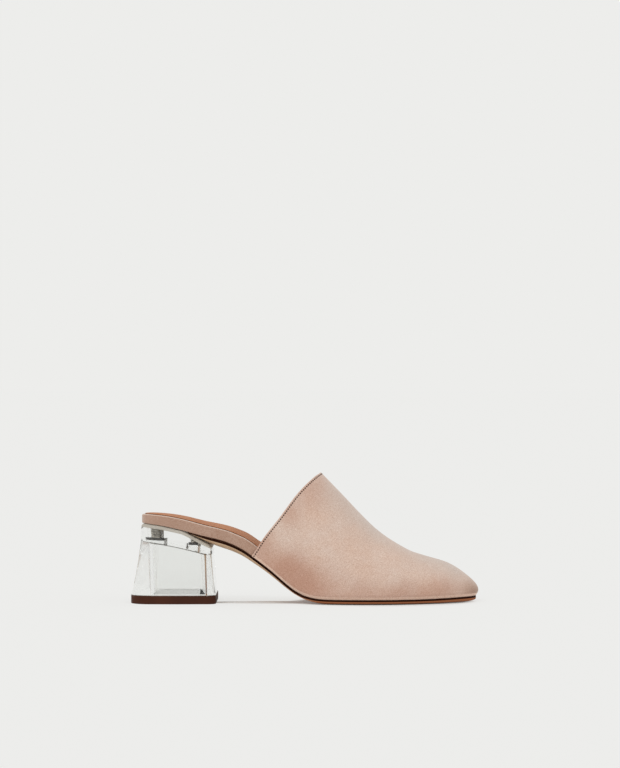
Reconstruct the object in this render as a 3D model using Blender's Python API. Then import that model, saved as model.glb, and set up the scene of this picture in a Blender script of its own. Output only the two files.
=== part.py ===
"""A right-foot block-heeled mule: suede upper, wrapped insole board, leather sole, clear hollow heel."""

import math
from collections import namedtuple

import bmesh
import bpy
import numpy as np

MM = 0.001

# Lengths run along X from the heel to the toe, widths along Y with the medial side at +Y, heights along Z.
# The origin is the centre of the top lift's lower face, which stands on the floor.

# Overall sizes of the last
SHOE_LENGTH = 245.9 * MM
SEAT_WIDTH = 56.0 * MM
BALL_WIDTH = 78.0 * MM
SEAT_HEIGHT = 57.8 * MM
INSTEP_HEIGHT = 94.2 * MM
ARCH_TWIST = 3.0 * MM
TOE_SPRING = 0.7 * MM
BACK_OVERHANG = 25.7 * MM
HEEL_ROUNDING = 26.0 * MM
TOE_ROUNDING = 34.0 * MM
NOSE_ROUNDING = 25.0 * MM
HEEL_SQUARENESS = 2.6
TOE_SQUARENESS = 2.35
NOSE_SQUARENESS = 2.1

# Shares of the length from the back: where the last widens to the ball, where the toe springs up, and where the
# upper's foot is drawn in
WIDENS_FROM = 0.25
WIDENS_OVER = 0.35
SPRING_FROM = 0.80
TUCK_FROM = 0.34
TUCK_OVER = 0.14

# Gap between neighbouring pieces
CLEARANCE = 0.3 * MM

# Upper
UPPER_WALL = 1.4 * MM
SIDE_BULGE_HEIGHT = 4.0 * MM
FEATHER_TUCK = 2.0 * MM
REAR_TUCK = 0.4 * MM
PEAK_FROM_BACK = 130.9 * MM
WING_FROM_BACK = 81.5 * MM
MEDIAL_SETBACK = 4.0 * MM
RIDGE_TO_MEDIAL = 2.0 * MM

# Outsole
OUTSOLE_EDGE = 2.0 * MM
OUTSOLE_FOREFOOT = 3.3 * MM
WAIST_CROWN = 4.1 * MM
OUTSOLE_INSET = 1.7 * MM
TONGUE_FROM_BACK = 36.4 * MM
TOE_BEVEL = 9.0 * MM
TONGUE_RAMP = 4.5 * MM

# Insole board and sock
BOARD_THICKNESS = 7.9 * MM
BOARD_FOREFOOT = 3.0 * MM
BOARD_EDGE_ROUND = 1.2 * MM
SOCK_THICKNESS = 1.0 * MM
SOCK_INSET = 2.2 * MM
SOCK_PROUD = 0.6 * MM
SOCK_EDGE_ROUND = 0.4 * MM

# Heel, moulded clear, hollow from below and closed by the top lift
HEEL_TOP_LENGTH = 50.4 * MM
HEEL_TOP_INSET = 0.3 * MM
HEEL_TOP_BACK_ROUND = 17.0 * MM
HEEL_TOP_FRONT_ROUND = 2.5 * MM
HEEL_FOOT_LENGTH = 60.6 * MM
HEEL_FOOT_WIDTH = 57.0 * MM
HEEL_FOOT_BACK_ROUND = 13.5 * MM
HEEL_FOOT_FRONT_ROUND = 5.0 * MM
HEEL_FLARE_POWER = 1.6
HEEL_SIDE_SWELL = 0.03
HEEL_RIM_ROUND = 2.5 * MM
HEEL_BACK_CALM = 6.5 * MM
CORE_CEILING = 13.1 * MM
CORE_BACK_WALL = 8.2 * MM
CORE_FRONT_WALL = 2.8 * MM
CORE_SIDE_WALL = 6.5 * MM
CORE_CORNER = 6.0 * MM
CORE_DRAFT = 0.9 * MM

# Top lift and heel screws, whose heads sit down in the hollow's ceiling
LIFT_THICKNESS = 6.0 * MM
LIFT_MARGIN = 0.4 * MM
LIFT_BEVEL = 0.4 * MM
SCREW_SHANK = 5.4 * MM
SCREW_HEAD = 10.4 * MM
SCREW_HEAD_HEIGHT = 1.8 * MM
REAR_SCREW_DEPTH = 11.5 * MM
REAR_SCREW_X = -10.0 * MM
FRONT_SCREW_DEPTH = 9.6 * MM
FRONT_SCREW_X = 13.5 * MM

HEEL_BACK_X = -BACK_OVERHANG
TOE_X = SHOE_LENGTH - BACK_OVERHANG
FEATHER_HEIGHT = OUTSOLE_FOREFOOT + CLEARANCE
SEAT_RISE = SEAT_HEIGHT - FEATHER_HEIGHT

# The last along its length. along: share of SHOE_LENGTH from the back. half: half width as a share of the local
# width, which runs from SEAT_WIDTH to BALL_WIDTH. swing: sideways shift as a share of BALL_WIDTH.
Outline = namedtuple("Outline", "along half swing")
OUTLINE = [
    Outline(along=0.00, half=0.465, swing=0.000),
    Outline(along=0.08, half=0.493, swing=0.000),
    Outline(along=0.15, half=0.500, swing=0.000),
    Outline(along=0.22, half=0.495, swing=-0.002),
    Outline(along=0.30, half=0.455, swing=-0.012),
    Outline(along=0.38, half=0.415, swing=-0.030),
    Outline(along=0.46, half=0.405, swing=-0.041),
    Outline(along=0.55, half=0.432, swing=-0.040),
    Outline(along=0.62, half=0.477, swing=-0.033),
    Outline(along=0.68, half=0.497, swing=-0.020),
    Outline(along=0.73, half=0.497, swing=-0.006),
    Outline(along=0.80, half=0.459, swing=0.010),
    Outline(along=0.87, half=0.392, swing=0.023),
    Outline(along=0.93, half=0.330, swing=0.037),
    Outline(along=1.00, half=0.260, swing=0.055),
]

# Height of the feather line. rise: share of SEAT_RISE at the lateral edge. twist: share of ARCH_TWIST by which the
# medial edge is higher, or lower where it is negative.
Feather = namedtuple("Feather", "along rise twist")
FEATHER = [
    Feather(along=0.0000, rise=1.000, twist=-0.30),
    Feather(along=0.0659, rise=0.967, twist=-0.30),
    Feather(along=0.1248, rise=0.911, twist=-0.15),
    Feather(along=0.1830, rise=0.841, twist=0.00),
    Feather(along=0.2530, rise=0.761, twist=0.25),
    Feather(along=0.2993, rise=0.670, twist=0.50),
    Feather(along=0.3461, rise=0.526, twist=0.70),
    Feather(along=0.3924, rise=0.362, twist=1.00),
    Feather(along=0.4388, rise=0.180, twist=0.90),
    Feather(along=0.4624, rise=0.102, twist=0.70),
    Feather(along=0.4912, rise=0.040, twist=0.45),
    Feather(along=0.5262, rise=0.008, twist=0.15),
    Feather(along=0.5600, rise=0.000, twist=0.00),
    Feather(along=1.0000, rise=0.000, twist=0.00),
]

# Top line of the upper in front of its peak. ahead: share of the way from the peak to the toe. height: share of
# INSTEP_HEIGHT. fullness: how square the cross section's shoulders are, 2 is an ellipse.
Ridge = namedtuple("Ridge", "ahead height fullness")
RIDGE = [
    Ridge(ahead=-0.450, height=1.560, fullness=2.0),
    Ridge(ahead=0.000, height=1.000, fullness=2.0),
    Ridge(ahead=0.076, height=0.905, fullness=2.0),
    Ridge(ahead=0.151, height=0.810, fullness=2.0),
    Ridge(ahead=0.252, height=0.679, fullness=2.1),
    Ridge(ahead=0.353, height=0.559, fullness=2.2),
    Ridge(ahead=0.429, height=0.488, fullness=2.3),
    Ridge(ahead=0.505, height=0.431, fullness=2.3),
    Ridge(ahead=0.580, height=0.383, fullness=2.3),
    Ridge(ahead=0.656, height=0.353, fullness=2.3),
    Ridge(ahead=0.782, height=0.308, fullness=2.2),
    Ridge(ahead=1.000, height=0.200, fullness=2.1),
]

# The edge of the opening, seen from the side. forward: share of the way from the wing to the peak. up: share of the
# way from the feather line to the peak.
Topline = namedtuple("Topline", "forward up")
TOPLINE = [
    Topline(forward=-0.20, up=-0.22),
    Topline(forward=0.00, up=0.000),
    Topline(forward=0.19, up=0.240),
    Topline(forward=0.42, up=0.487),
    Topline(forward=0.65, up=0.740),
    Topline(forward=0.82, up=0.886),
    Topline(forward=0.94, up=0.970),
    Topline(forward=1.00, up=1.000),
]

# Outsole section. edge: share of OUTSOLE_EDGE. crown: share of WAIST_CROWN that the middle hangs below the edge.
# tread: share of the forefoot's own depth below the edge. bevel: share of the half width over which it curves down.
Section = namedtuple("Section", "along edge crown tread bevel")
SECTIONS = [
    Section(along=0.1480, edge=0.20, crown=0.00, tread=0.00, bevel=0.90),
    Section(along=0.1830, edge=0.60, crown=0.42, tread=0.00, bevel=0.90),
    Section(along=0.2150, edge=0.90, crown=0.80, tread=0.00, bevel=0.90),
    Section(along=0.2530, edge=1.00, crown=1.00, tread=0.00, bevel=0.90),
    Section(along=0.3000, edge=1.00, crown=0.95, tread=0.00, bevel=0.90),
    Section(along=0.3461, edge=1.00, crown=0.80, tread=0.00, bevel=0.85),
    Section(along=0.3924, edge=1.00, crown=0.57, tread=0.00, bevel=0.70),
    Section(along=0.4624, edge=0.95, crown=0.14, tread=0.00, bevel=0.35),
    Section(along=0.5000, edge=0.85, crown=0.04, tread=0.45, bevel=0.20),
    Section(along=0.5600, edge=0.80, crown=0.00, tread=1.00, bevel=0.14),
    Section(along=1.0000, edge=0.80, crown=0.00, tread=1.00, bevel=0.14),
]

# Insole board. thick: share of the way from BOARD_FOREFOOT to BOARD_THICKNESS.
Board = namedtuple("Board", "along thick")
BOARD = [
    Board(along=0.00, thick=0.61),
    Board(along=0.03, thick=0.79),
    Board(along=0.06, thick=0.86),
    Board(along=0.13, thick=0.98),
    Board(along=0.25, thick=0.96),
    Board(along=0.40, thick=0.89),
    Board(along=0.52, thick=0.00),
    Board(along=1.00, thick=0.00),
]

# Faceting, and the small steps over which slopes are measured
SLOPE_STEP = 0.5 * MM
OUTLINE_STEP = 0.02 * MM
MERGE_DISTANCE = 0.01 * MM
SHARP_DEG = 35
END_CROWDING = 0.9
TOE_STATIONS = 38
SOLE_STATIONS = 57
EDGE_STEPS = 3
TIP_FLAT = 0.02 * MM
ARCH_ROWS = 11
TUCK_ROWS = 3
BEVEL_STEPS = 4
CORNER_STEPS = 7
SIDE_STEPS = 5
FLARE_LEVELS = 7
RIM_STEPS = 4
SEAT_SHARES = (0.0, 0.3, 0.6, 0.8)
CEILING_SHARES = (1.0, 0.75, 0.5, 0.25, 0.0)
SCREW_SIDES = 28


def fair_curve(knots, values):
    """A smooth curve through the knots that never overshoots them, as a function of a number or an array."""
    knots = np.asarray(knots, float)
    values = np.asarray(values, float)
    steps = np.diff(knots)
    slopes = np.diff(values) / steps
    tangents = np.zeros(len(knots))
    tangents[0], tangents[-1] = slopes[0], slopes[-1]
    for i in range(1, len(knots) - 1):
        if slopes[i - 1] * slopes[i] > 0:
            w1 = 2 * steps[i] + steps[i - 1]
            w2 = steps[i] + 2 * steps[i - 1]
            tangents[i] = (w1 + w2) / (w1 / slopes[i - 1] + w2 / slopes[i])

    def curve(x):
        x = np.clip(x, knots[0], knots[-1])
        i = np.clip(np.searchsorted(knots, x, side="right") - 1, 0, len(steps) - 1)
        t = (x - knots[i]) / steps[i]
        a = values[i] * (1 + 2 * t) * (1 - t) ** 2 + values[i + 1] * t * t * (3 - 2 * t)
        b = steps[i] * (tangents[i] * t * (1 - t) ** 2 + tangents[i + 1] * t * t * (t - 1))
        return a + b

    return curve


def column(table, name):
    """One column of a table as a fair curve over its first column."""
    return fair_curve([row[0] for row in table], [getattr(row, name) for row in table])


half_share = column(OUTLINE, "half")
swing_share = column(OUTLINE, "swing")
rise_share = column(FEATHER, "rise")
twist_share = column(FEATHER, "twist")
ridge_share = column(RIDGE, "height")
fullness_at = column(RIDGE, "fullness")
topline_share = column(TOPLINE, "up")
edge_share = column(SECTIONS, "edge")
crown_share = column(SECTIONS, "crown")
tread_share = column(SECTIONS, "tread")
bevel_share = column(SECTIONS, "bevel")
thick_share = column(BOARD, "thick")


def ease(t):
    """0 to 1 with level ends."""
    t = min(max(t, 0.0), 1.0)
    return t * t * (3 - 2 * t)


def blunt(t, power):
    """Falls from 1 to 0 like a rounded nose as t goes from 0 to 1."""
    t = min(max(t, 0.0), 1.0)
    return (1 - t**power) ** (1 / power)


def along(x):
    return (x - HEEL_BACK_X) / SHOE_LENGTH


def centre(x):
    return BALL_WIDTH * float(swing_share(along(x)))


def half_width(x):
    """Half width of the last's outline, rounded off at heel and toe."""
    local = SEAT_WIDTH + (BALL_WIDTH - SEAT_WIDTH) * ease((along(x) - WIDENS_FROM) / WIDENS_OVER)
    heel_end = blunt((HEEL_BACK_X + HEEL_ROUNDING - x) / HEEL_ROUNDING, HEEL_SQUARENESS)
    toe_end = blunt((x - TOE_X + TOE_ROUNDING) / TOE_ROUNDING, TOE_SQUARENESS)
    return local * float(half_share(along(x))) * heel_end * toe_end


def outline_point(x, side, inset=0.0):
    """A point of the outline at station x, side -1 lateral or 1 medial, moved in at right angles by inset."""
    ahead = min(x + OUTLINE_STEP, TOE_X)
    behind = max(x - OUTLINE_STEP, HEEL_BACK_X)
    rate = (half_width(ahead) - half_width(behind)) / (ahead - behind)
    drift = (centre(ahead) - centre(behind)) / (ahead - behind)
    nx, ny = -(rate + side * drift), 1.0
    length = math.hypot(nx, ny)
    if half_width(x) < MERGE_DISTANCE:
        nx, ny, length = (1.0 if x > 0 else -1.0), 0.0, 1.0
    return (
        x - inset * nx / length,
        centre(x) + side * (half_width(x) - inset * ny / length),
    )


def seat_height(x, across=0.0):
    """Height of the surface that the upper and the board stand on, across running from -1 lateral to 1 medial."""
    a = along(x)
    spring = TOE_SPRING * ease((a - SPRING_FROM) / (1 - SPRING_FROM))
    lift = ARCH_TWIST * float(twist_share(a)) * (1 + across) / 2
    return FEATHER_HEIGHT + SEAT_RISE * float(rise_share(a)) + lift + spring


def steepness(x):
    """Length of the slope for each unit of run, which turns a thickness into a height."""
    slope = (seat_height(x + SLOPE_STEP) - seat_height(x - SLOPE_STEP)) / (2 * SLOPE_STEP)
    return math.hypot(1.0, slope)


def tuck(x):
    """How far the upper's foot is drawn in below its side bulge."""
    return REAR_TUCK + (FEATHER_TUCK - REAR_TUCK) * ease((along(x) - TUCK_FROM) / TUCK_OVER)


def new_object(name, points, faces, material):
    mesh = bpy.data.meshes.new(name)
    mesh.from_pydata([tuple(p) for p in points], [], faces)
    tool = bmesh.new()
    tool.from_mesh(mesh)
    bmesh.ops.remove_doubles(tool, verts=tool.verts, dist=MERGE_DISTANCE)
    bmesh.ops.dissolve_degenerate(tool, edges=tool.edges, dist=MERGE_DISTANCE / 2)
    bmesh.ops.recalc_face_normals(tool, faces=tool.faces)
    tool.to_mesh(mesh)
    tool.free()
    mesh.shade_smooth()
    mesh.set_sharp_from_angle(angle=math.radians(SHARP_DEG))
    obj = bpy.data.objects.new(name, mesh)
    bpy.context.scene.collection.objects.link(obj)
    if material:
        mesh.materials.append(material)
    return obj


def loft(name, rings, material=None):
    """A closed solid through rings of points. A ring that has shrunk to a line or a point closes by itself."""
    count = len(rings[0])
    points = [p for ring in rings for p in ring]
    faces = []
    for r in range(len(rings) - 1):
        for i in range(count):
            j = (i + 1) % count
            low, high = r * count, (r + 1) * count
            faces.append((low + i, low + j, high + j, high + i))
    faces.append(tuple(range(count)))
    faces.append(tuple(range((len(rings) - 1) * count, len(rings) * count)))
    return new_object(name, points, faces, material)


def sheet(name, rows, material):
    """An open surface through rows of points."""
    count = len(rows[0])
    points = [p for row in rows for p in row]
    faces = []
    for r in range(len(rows) - 1):
        for i in range(count - 1):
            low, high = r * count + i, (r + 1) * count + i
            faces.append((low, low + 1, high + 1, high))
    return new_object(name, points, faces, material)


def finish(name, colour, roughness, metallic=0.0, transmission=0.0):
    material = bpy.data.materials.new(name)
    material.use_nodes = True
    shader = material.node_tree.nodes["Principled BSDF"]
    shader.inputs["Base Color"].default_value = (*colour, 1.0)
    shader.inputs["Roughness"].default_value = roughness
    shader.inputs["Metallic"].default_value = metallic
    shader.inputs["Transmission Weight"].default_value = transmission
    return material


def carve(obj, cutters):
    for cutter in cutters:
        cutter.hide_render = True
        cutter.display_type = "WIRE"
        cut = obj.modifiers.new("cut " + cutter.name, "BOOLEAN")
        cut.operation = "DIFFERENCE"
        cut.solver = "EXACT"
        cut.object = cutter


def spread(start, end, count, round_start=True):
    """Stations from start to end, crowded towards the round toe, and towards the start too where that is round."""
    stations = []
    for i in range(count):
        even = i / (count - 1)
        crowded = (1 - math.cos(math.pi * even)) / 2 if round_start else 1 - (1 - even) ** 2
        stations.append(start + (end - start) * (even + (crowded - even) * END_CROWDING))
    return stations


# Upper

PEAK_X = HEEL_BACK_X + PEAK_FROM_BACK
WING_X = HEEL_BACK_X + WING_FROM_BACK


def ridge_height(x):
    """Height of the upper's middle, which drops like a nose at the toe."""
    ahead = (x - PEAK_X) / (TOE_X - PEAK_X)
    full = INSTEP_HEIGHT * float(ridge_share(ahead))
    foot = seat_height(x) + SIDE_BULGE_HEIGHT
    return foot + (full - foot) * blunt((x - TOE_X + NOSE_ROUNDING) / NOSE_ROUNDING, NOSE_SQUARENESS)


def upper_point(x, side, rise):
    """Outer face of the upper. rise runs from -1 at the feather line through 0 at the side bulge to 1 on the ridge."""
    foot = seat_height(x, side) + SIDE_BULGE_HEIGHT
    if rise <= 0:
        px, py = outline_point(x, side, tuck(x) * rise * rise)
        return px, py, foot + SIDE_BULGE_HEIGHT * rise
    fullness = float(fullness_at((x - PEAK_X) / (TOE_X - PEAK_X)))
    angle = rise * math.pi / 2
    out, up = max(math.cos(angle), 0.0) ** (2 / fullness), math.sin(angle) ** (2 / fullness)
    _, edge = outline_point(x, side)
    shift = half_width(x) / (BALL_WIDTH / 2)
    middle = centre(x) + RIDGE_TO_MEDIAL * shift
    return x, middle + (edge - middle) * out, foot + (ridge_height(x) - foot) * up


def topline_height(x, side, rise):
    """The slanted edge of the opening, seen from the side. The medial wing is cut a little further forward."""
    low = seat_height(WING_X, -1)
    setback = MEDIAL_SETBACK * (1 - max(rise, 0.0) ** 2) if side > 0 else 0.0
    forward = (x - setback - WING_X) / (PEAK_X - WING_X)
    return low + (INSTEP_HEIGHT - low) * float(topline_share(forward))


def topline_station(side, rise):
    """Where a lengthwise line of the upper meets the topline, found by halving."""
    behind, ahead = WING_X - FEATHER_HEIGHT, PEAK_X
    for _ in range(40):
        middle = (behind + ahead) / 2
        if upper_point(middle, side, rise)[2] > topline_height(middle, side, rise):
            behind = middle
        else:
            ahead = middle
    return ahead


def build_upper(material):
    lateral = [-1 + i / TUCK_ROWS for i in range(TUCK_ROWS)]
    lateral += [i / ARCH_ROWS for i in range(ARCH_ROWS + 1)]
    lines = [(-1, rise) for rise in lateral] + [(1, rise) for rise in reversed(lateral[:-1])]
    starts = [topline_station(side, rise) for side, rise in lines]
    rows = []
    for share in spread(0.0, 1.0, TOE_STATIONS, round_start=False):
        row = []
        for (side, rise), start in zip(lines, starts):
            row.append(upper_point(start + (TOE_X - start) * share, side, rise))
        rows.append(row)
    upper = sheet("upper", rows, material)
    wall = upper.modifiers.new("wall", "SOLIDIFY")
    wall.thickness = UPPER_WALL
    wall.offset = -1
    wall.use_even_offset = False
    return upper


# Layers under the foot


def edge_points(x, inset):
    return {side: outline_point(x, side, inset) for side in (-1, 1)}


def across_point(edge, across, surface, drop=0.0):
    """A point between the lateral and the medial edge of a layer, on a surface or a little below it."""
    (lx, ly), (mx, my) = edge[-1], edge[1]
    share = (1 + across) / 2
    x = lx + (mx - lx) * share
    return x, ly + (my - ly) * share, surface(x, across) - drop


def share_of_width(edge, distance):
    """How far a distance reaches from the edge of a layer towards its middle, at most half way."""
    width = max(edge[1][1] - edge[-1][1], MERGE_DISTANCE)
    return min(2 * distance / width, 0.5)


def layer(name, inset, top, bottom, edge_round, material=None):
    """A solid over the whole foot between two surfaces, with its upper edge rounded over."""
    stations = spread(HEEL_BACK_X + TIP_FLAT, TOE_X - TIP_FLAT, SOLE_STATIONS)
    turns = [i * math.pi / 2 / EDGE_STEPS for i in range(EDGE_STEPS + 1)]
    edges = [edge_points(x, inset(x)) for x in stations]
    middles = [(edge[-1][0] + edge[1][0]) / 2 for edge in edges]
    rings = []
    for edge, middle in zip(edges, middles):
        from_end = min(middle - middles[0], middles[-1] - middle)
        over = max(1 - from_end / edge_round, 0.0)
        end_drop = edge_round * (1 - math.sqrt(1 - over * over))
        shoulder = []
        for turn in turns:
            drop = max(edge_round * (1 - math.sin(turn)), end_drop)
            shoulder.append((1 - share_of_width(edge, edge_round * (1 - math.cos(turn))), drop))
        ring = [across_point(edge, -s, top, drop) for s, drop in shoulder]
        ring.append(across_point(edge, 0, top, end_drop))
        ring += [across_point(edge, s, top, drop) for s, drop in reversed(shoulder)]
        ring += [across_point(edge, s, bottom) for s in (1, 0, -1)]
        rings.append(ring)
    return loft(name, rings, material)


def board_inset(x):
    return UPPER_WALL + CLEARANCE + tuck(x)


def board_top(x, across):
    thick = BOARD_FOREFOOT + (BOARD_THICKNESS - BOARD_FOREFOOT) * float(thick_share(along(x)))
    return seat_height(x, across) + thick * steepness(x)


def sock_inset(x):
    return board_inset(x) + SOCK_INSET


def sock_top(x, across):
    return board_top(x, across) + SOCK_PROUD


def sock_underside(x, across):
    return sock_top(x, across) - SOCK_THICKNESS


def build_board(material):
    """The wrapped insole board, with a shallow seat on top for the sock."""
    board = layer("insole_board", board_inset, board_top, seat_height, BOARD_EDGE_ROUND, material)
    seat = layer(
        "sock seat",
        lambda x: sock_inset(x) - CLEARANCE,
        lambda x, across: sock_top(x, across) + SOCK_THICKNESS,
        lambda x, across: sock_underside(x, across) - CLEARANCE,
        SOCK_EDGE_ROUND,
    )
    carve(board, [seat])


def build_sock(material):
    """The leather sock glued into the board's seat, set in a little from its wrapped edge."""
    layer("sock_lining", sock_inset, sock_top, sock_underside, SOCK_EDGE_ROUND, material)


def outsole_depths(x):
    """Height of the outsole's upright edge, and how far its middle hangs below that edge."""
    a = along(x)
    edge = OUTSOLE_EDGE * float(edge_share(a))
    forefoot = OUTSOLE_FOREFOOT - OUTSOLE_EDGE * float(edge_share(1.0))
    return edge, WAIST_CROWN * float(crown_share(a)) + forefoot * float(tread_share(a))


def underside(x, across):
    """Height of the outsole's lower face, bevelled along its sides and round the toe."""
    edge, crown = outsole_depths(x)
    bevel = float(bevel_share(along(x)))
    climb = max(0.0, 1 - (1 - abs(across)) / bevel)
    nose = max(0.0, 1 - (TOE_X - OUTSOLE_INSET - x) / TOE_BEVEL)
    climb = min(1.0, math.hypot(climb, nose))
    return seat_height(x, across) - CLEARANCE - edge - crown * math.sqrt(1 - climb * climb)


def build_outsole(material):
    rings = []
    for x in spread(HEEL_BACK_X + TONGUE_FROM_BACK, TOE_X, SOLE_STATIONS, round_start=False):
        edge = edge_points(x, OUTSOLE_INSET)
        bevel = float(bevel_share(along(x)))
        turns = [i * math.pi / 2 / BEVEL_STEPS for i in range(BEVEL_STEPS + 1)]
        lower = [1 - bevel * (1 - math.cos(t)) for t in turns]
        lower += [0.0] + [-s for s in reversed(lower)]
        ring = [across_point(edge, s, seat_height, CLEARANCE) for s in (-1, 0, 1)]
        ring += [across_point(edge, s, underside) for s in lower]
        rings.append(ring)
    return loft("outsole", rings, material)


# Heel

HEEL_TOP_WIDTH = SEAT_WIDTH - 2 * (UPPER_WALL + CLEARANCE + REAR_TUCK + HEEL_TOP_INSET)
HEEL_TOP_BACK_X = HEEL_BACK_X + UPPER_WALL + CLEARANCE + REAR_TUCK
HEEL_TOP_CENTRE = HEEL_TOP_BACK_X + HEEL_TOP_LENGTH / 2


def rounded_plan(middle, length, width, back_round, front_round, swell=0.0):
    """An outline with round corners, larger at the back than at the breast, and slightly bowed sides."""
    half_length, half_across = length / 2, width / 2
    corners = [
        (1, 1, front_round, 0),
        (-1, 1, back_round, 90),
        (-1, -1, back_round, 180),
        (1, -1, front_round, 270),
    ]
    arcs = []
    for end, side, radius, start in corners:
        cx, cy = end * (half_length - radius), side * (half_across - radius)
        arc = []
        for i in range(CORNER_STEPS + 1):
            turn = math.radians(start + 90 * i / CORNER_STEPS)
            arc.append((cx + radius * math.cos(turn), cy + radius * math.sin(turn)))
        arcs.append(arc)
    points = []
    for arc, after in zip(arcs, arcs[1:] + arcs[:1]):
        points += arc
        (ax, ay), (bx, by) = arc[-1], after[0]
        for i in range(1, SIDE_STEPS):
            t = i / SIDE_STEPS
            points.append((ax + (bx - ax) * t, ay + (by - ay) * t))
    bowed = []
    for x, y in points:
        bowed.append((middle + x, y * (1 + swell * (1 - (x / half_length) ** 2))))
    return bowed


def heel_plan(share, margin=0.0):
    """The heel's outline at a share of its height, 0 at the foot and 1 at the seat."""
    flare = (1 - share) ** HEEL_FLARE_POWER

    def size(top, foot):
        return top + (foot - top) * flare

    return rounded_plan(
        size(HEEL_TOP_CENTRE, 0),
        size(HEEL_TOP_LENGTH, HEEL_FOOT_LENGTH) + 2 * margin,
        size(HEEL_TOP_WIDTH, HEEL_FOOT_WIDTH) + 2 * margin,
        size(HEEL_TOP_BACK_ROUND, HEEL_FOOT_BACK_ROUND) + margin,
        size(HEEL_TOP_FRONT_ROUND, HEEL_FOOT_FRONT_ROUND) + margin,
        HEEL_SIDE_SWELL,
    )


def across_at(x, y):
    """Where a point lies across the board, from -1 lateral to 1 medial."""
    half = half_width(max(x, HEEL_BACK_X + HEEL_BACK_CALM)) - board_inset(x)
    return min(max((y - centre(x)) / half, -1), 1)


def heel_seat(x, across):
    """Height of the heel's top, which fits the board behind and the outsole's tongue in front."""
    start = HEEL_BACK_X + TONGUE_FROM_BACK
    taken = ease((x - start + TONGUE_RAMP) / TONGUE_RAMP)
    behind = seat_height(x, across) - CLEARANCE
    in_front = underside(x, 0) - CLEARANCE
    return behind + (in_front - behind) * taken


def seat_cutter():
    """Everything above the heel's seat, with the seat's rim rounded over."""
    rim = 2 * HEEL_RIM_ROUND / HEEL_TOP_LENGTH
    rim_shares = [1 - rim * (1 - math.sin(i * math.pi / 2 / RIM_STEPS)) for i in range(RIM_STEPS + 1)]
    rings = []
    for share in [*SEAT_SHARES, *rim_shares, 1 + rim / 2]:
        into_rim = min(max(0.0, 1 - (1 - share) / rim), 1.0)
        drop = HEEL_RIM_ROUND * (1 - math.sqrt(1 - into_rim * into_rim))
        ring = []
        for px, py in heel_plan(1.0):
            x = HEEL_TOP_CENTRE + (px - HEEL_TOP_CENTRE) * share
            y = py * share
            ring.append((x, y, heel_seat(x, across_at(x, y)) - drop))
        rings.append(ring)
    top = 2 * SEAT_HEIGHT
    rings.append([(x, y, top) for x, y, _ in rings[-1]])
    rings.append([(HEEL_TOP_CENTRE, 0, top)] * len(rings[-1]))
    return loft("seat cutter", rings)


def ceiling_height(x):
    """Height of the hollow's ceiling, which runs parallel to the seat."""
    return seat_height(x) - CORE_CEILING


def core_cutter(foot):
    """The hollow, drawn a little wider at its mouth so that it leaves the mould."""
    length = HEEL_TOP_LENGTH - CORE_BACK_WALL - CORE_FRONT_WALL
    width = HEEL_TOP_WIDTH - 2 * CORE_SIDE_WALL
    middle = HEEL_TOP_CENTRE + (CORE_BACK_WALL - CORE_FRONT_WALL) / 2
    top = rounded_plan(middle, length, width, CORE_CORNER, CORE_CORNER)
    mouth = rounded_plan(middle, length + 2 * CORE_DRAFT, width + 2 * CORE_DRAFT, CORE_CORNER, CORE_CORNER)
    rings = [[(x, y, foot - LIFT_THICKNESS) for x, y in mouth]]
    for share in CEILING_SHARES:
        ring = []
        for px, py in top:
            x = middle + (px - middle) * share
            ring.append((x, py * share, ceiling_height(x)))
        rings.append(ring)
    return loft("hollow", rings)


def turned(name, profile, x, material=None):
    """A solid of revolution about a vertical axis at x, from a profile of radius and height."""
    rings = []
    for radius, z in profile:
        ring = []
        for i in range(SCREW_SIDES):
            turn = 2 * math.pi * i / SCREW_SIDES
            ring.append((x + radius * math.cos(turn), radius * math.sin(turn), z))
        rings.append(ring)
    return loft(name, rings, material)


def screw_profile(x, depth, grow):
    """Head down at the hollow's ceiling, shank up to the seat."""
    foot = seat_height(x) - depth
    neck = foot + SCREW_HEAD_HEIGHT + grow
    head, shank = SCREW_HEAD / 2 + grow, SCREW_SHANK / 2 + grow
    tip = heel_seat(x + SCREW_SHANK / 2, 0)
    return [(head, foot), (head, neck), (shank, neck), (shank, tip)]


def build_heel(clear, metal):
    foot = LIFT_THICKNESS + CLEARANCE
    rings = []
    for level in range(FLARE_LEVELS + 1):
        share = level / FLARE_LEVELS
        z = foot + (SEAT_HEIGHT - foot) * share
        rings.append([(x, y, z) for x, y in heel_plan(share)])
    rings.append([(x, y, SEAT_HEIGHT + CORE_CEILING) for x, y, _ in rings[-1]])
    heel = loft("heel_block", rings, clear)
    cutters = [seat_cutter(), core_cutter(foot)]
    screws = (("rear", REAR_SCREW_X, REAR_SCREW_DEPTH), ("front", FRONT_SCREW_X, FRONT_SCREW_DEPTH))
    for name, x, depth in screws:
        pocket = screw_profile(x, depth, CLEARANCE)
        pocket[0] = (pocket[0][0], pocket[0][1] - CORE_CEILING / 2)
        pocket[-1] = (pocket[-1][0], SEAT_HEIGHT + CORE_CEILING)
        cutters.append(turned(name + " screw pocket", pocket, x))
        turned("heel_screw_" + name, screw_profile(x, depth, 0.0), x, metal)
    carve(heel, cutters)


def build_lift(material):
    rings = []
    for margin, z in ((LIFT_MARGIN - LIFT_BEVEL, 0), (LIFT_MARGIN, LIFT_BEVEL), (LIFT_MARGIN, LIFT_THICKNESS)):
        rings.append([(x, y, z) for x, y in heel_plan(0.0, margin)])
    return loft("top_lift", rings, material)


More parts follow.
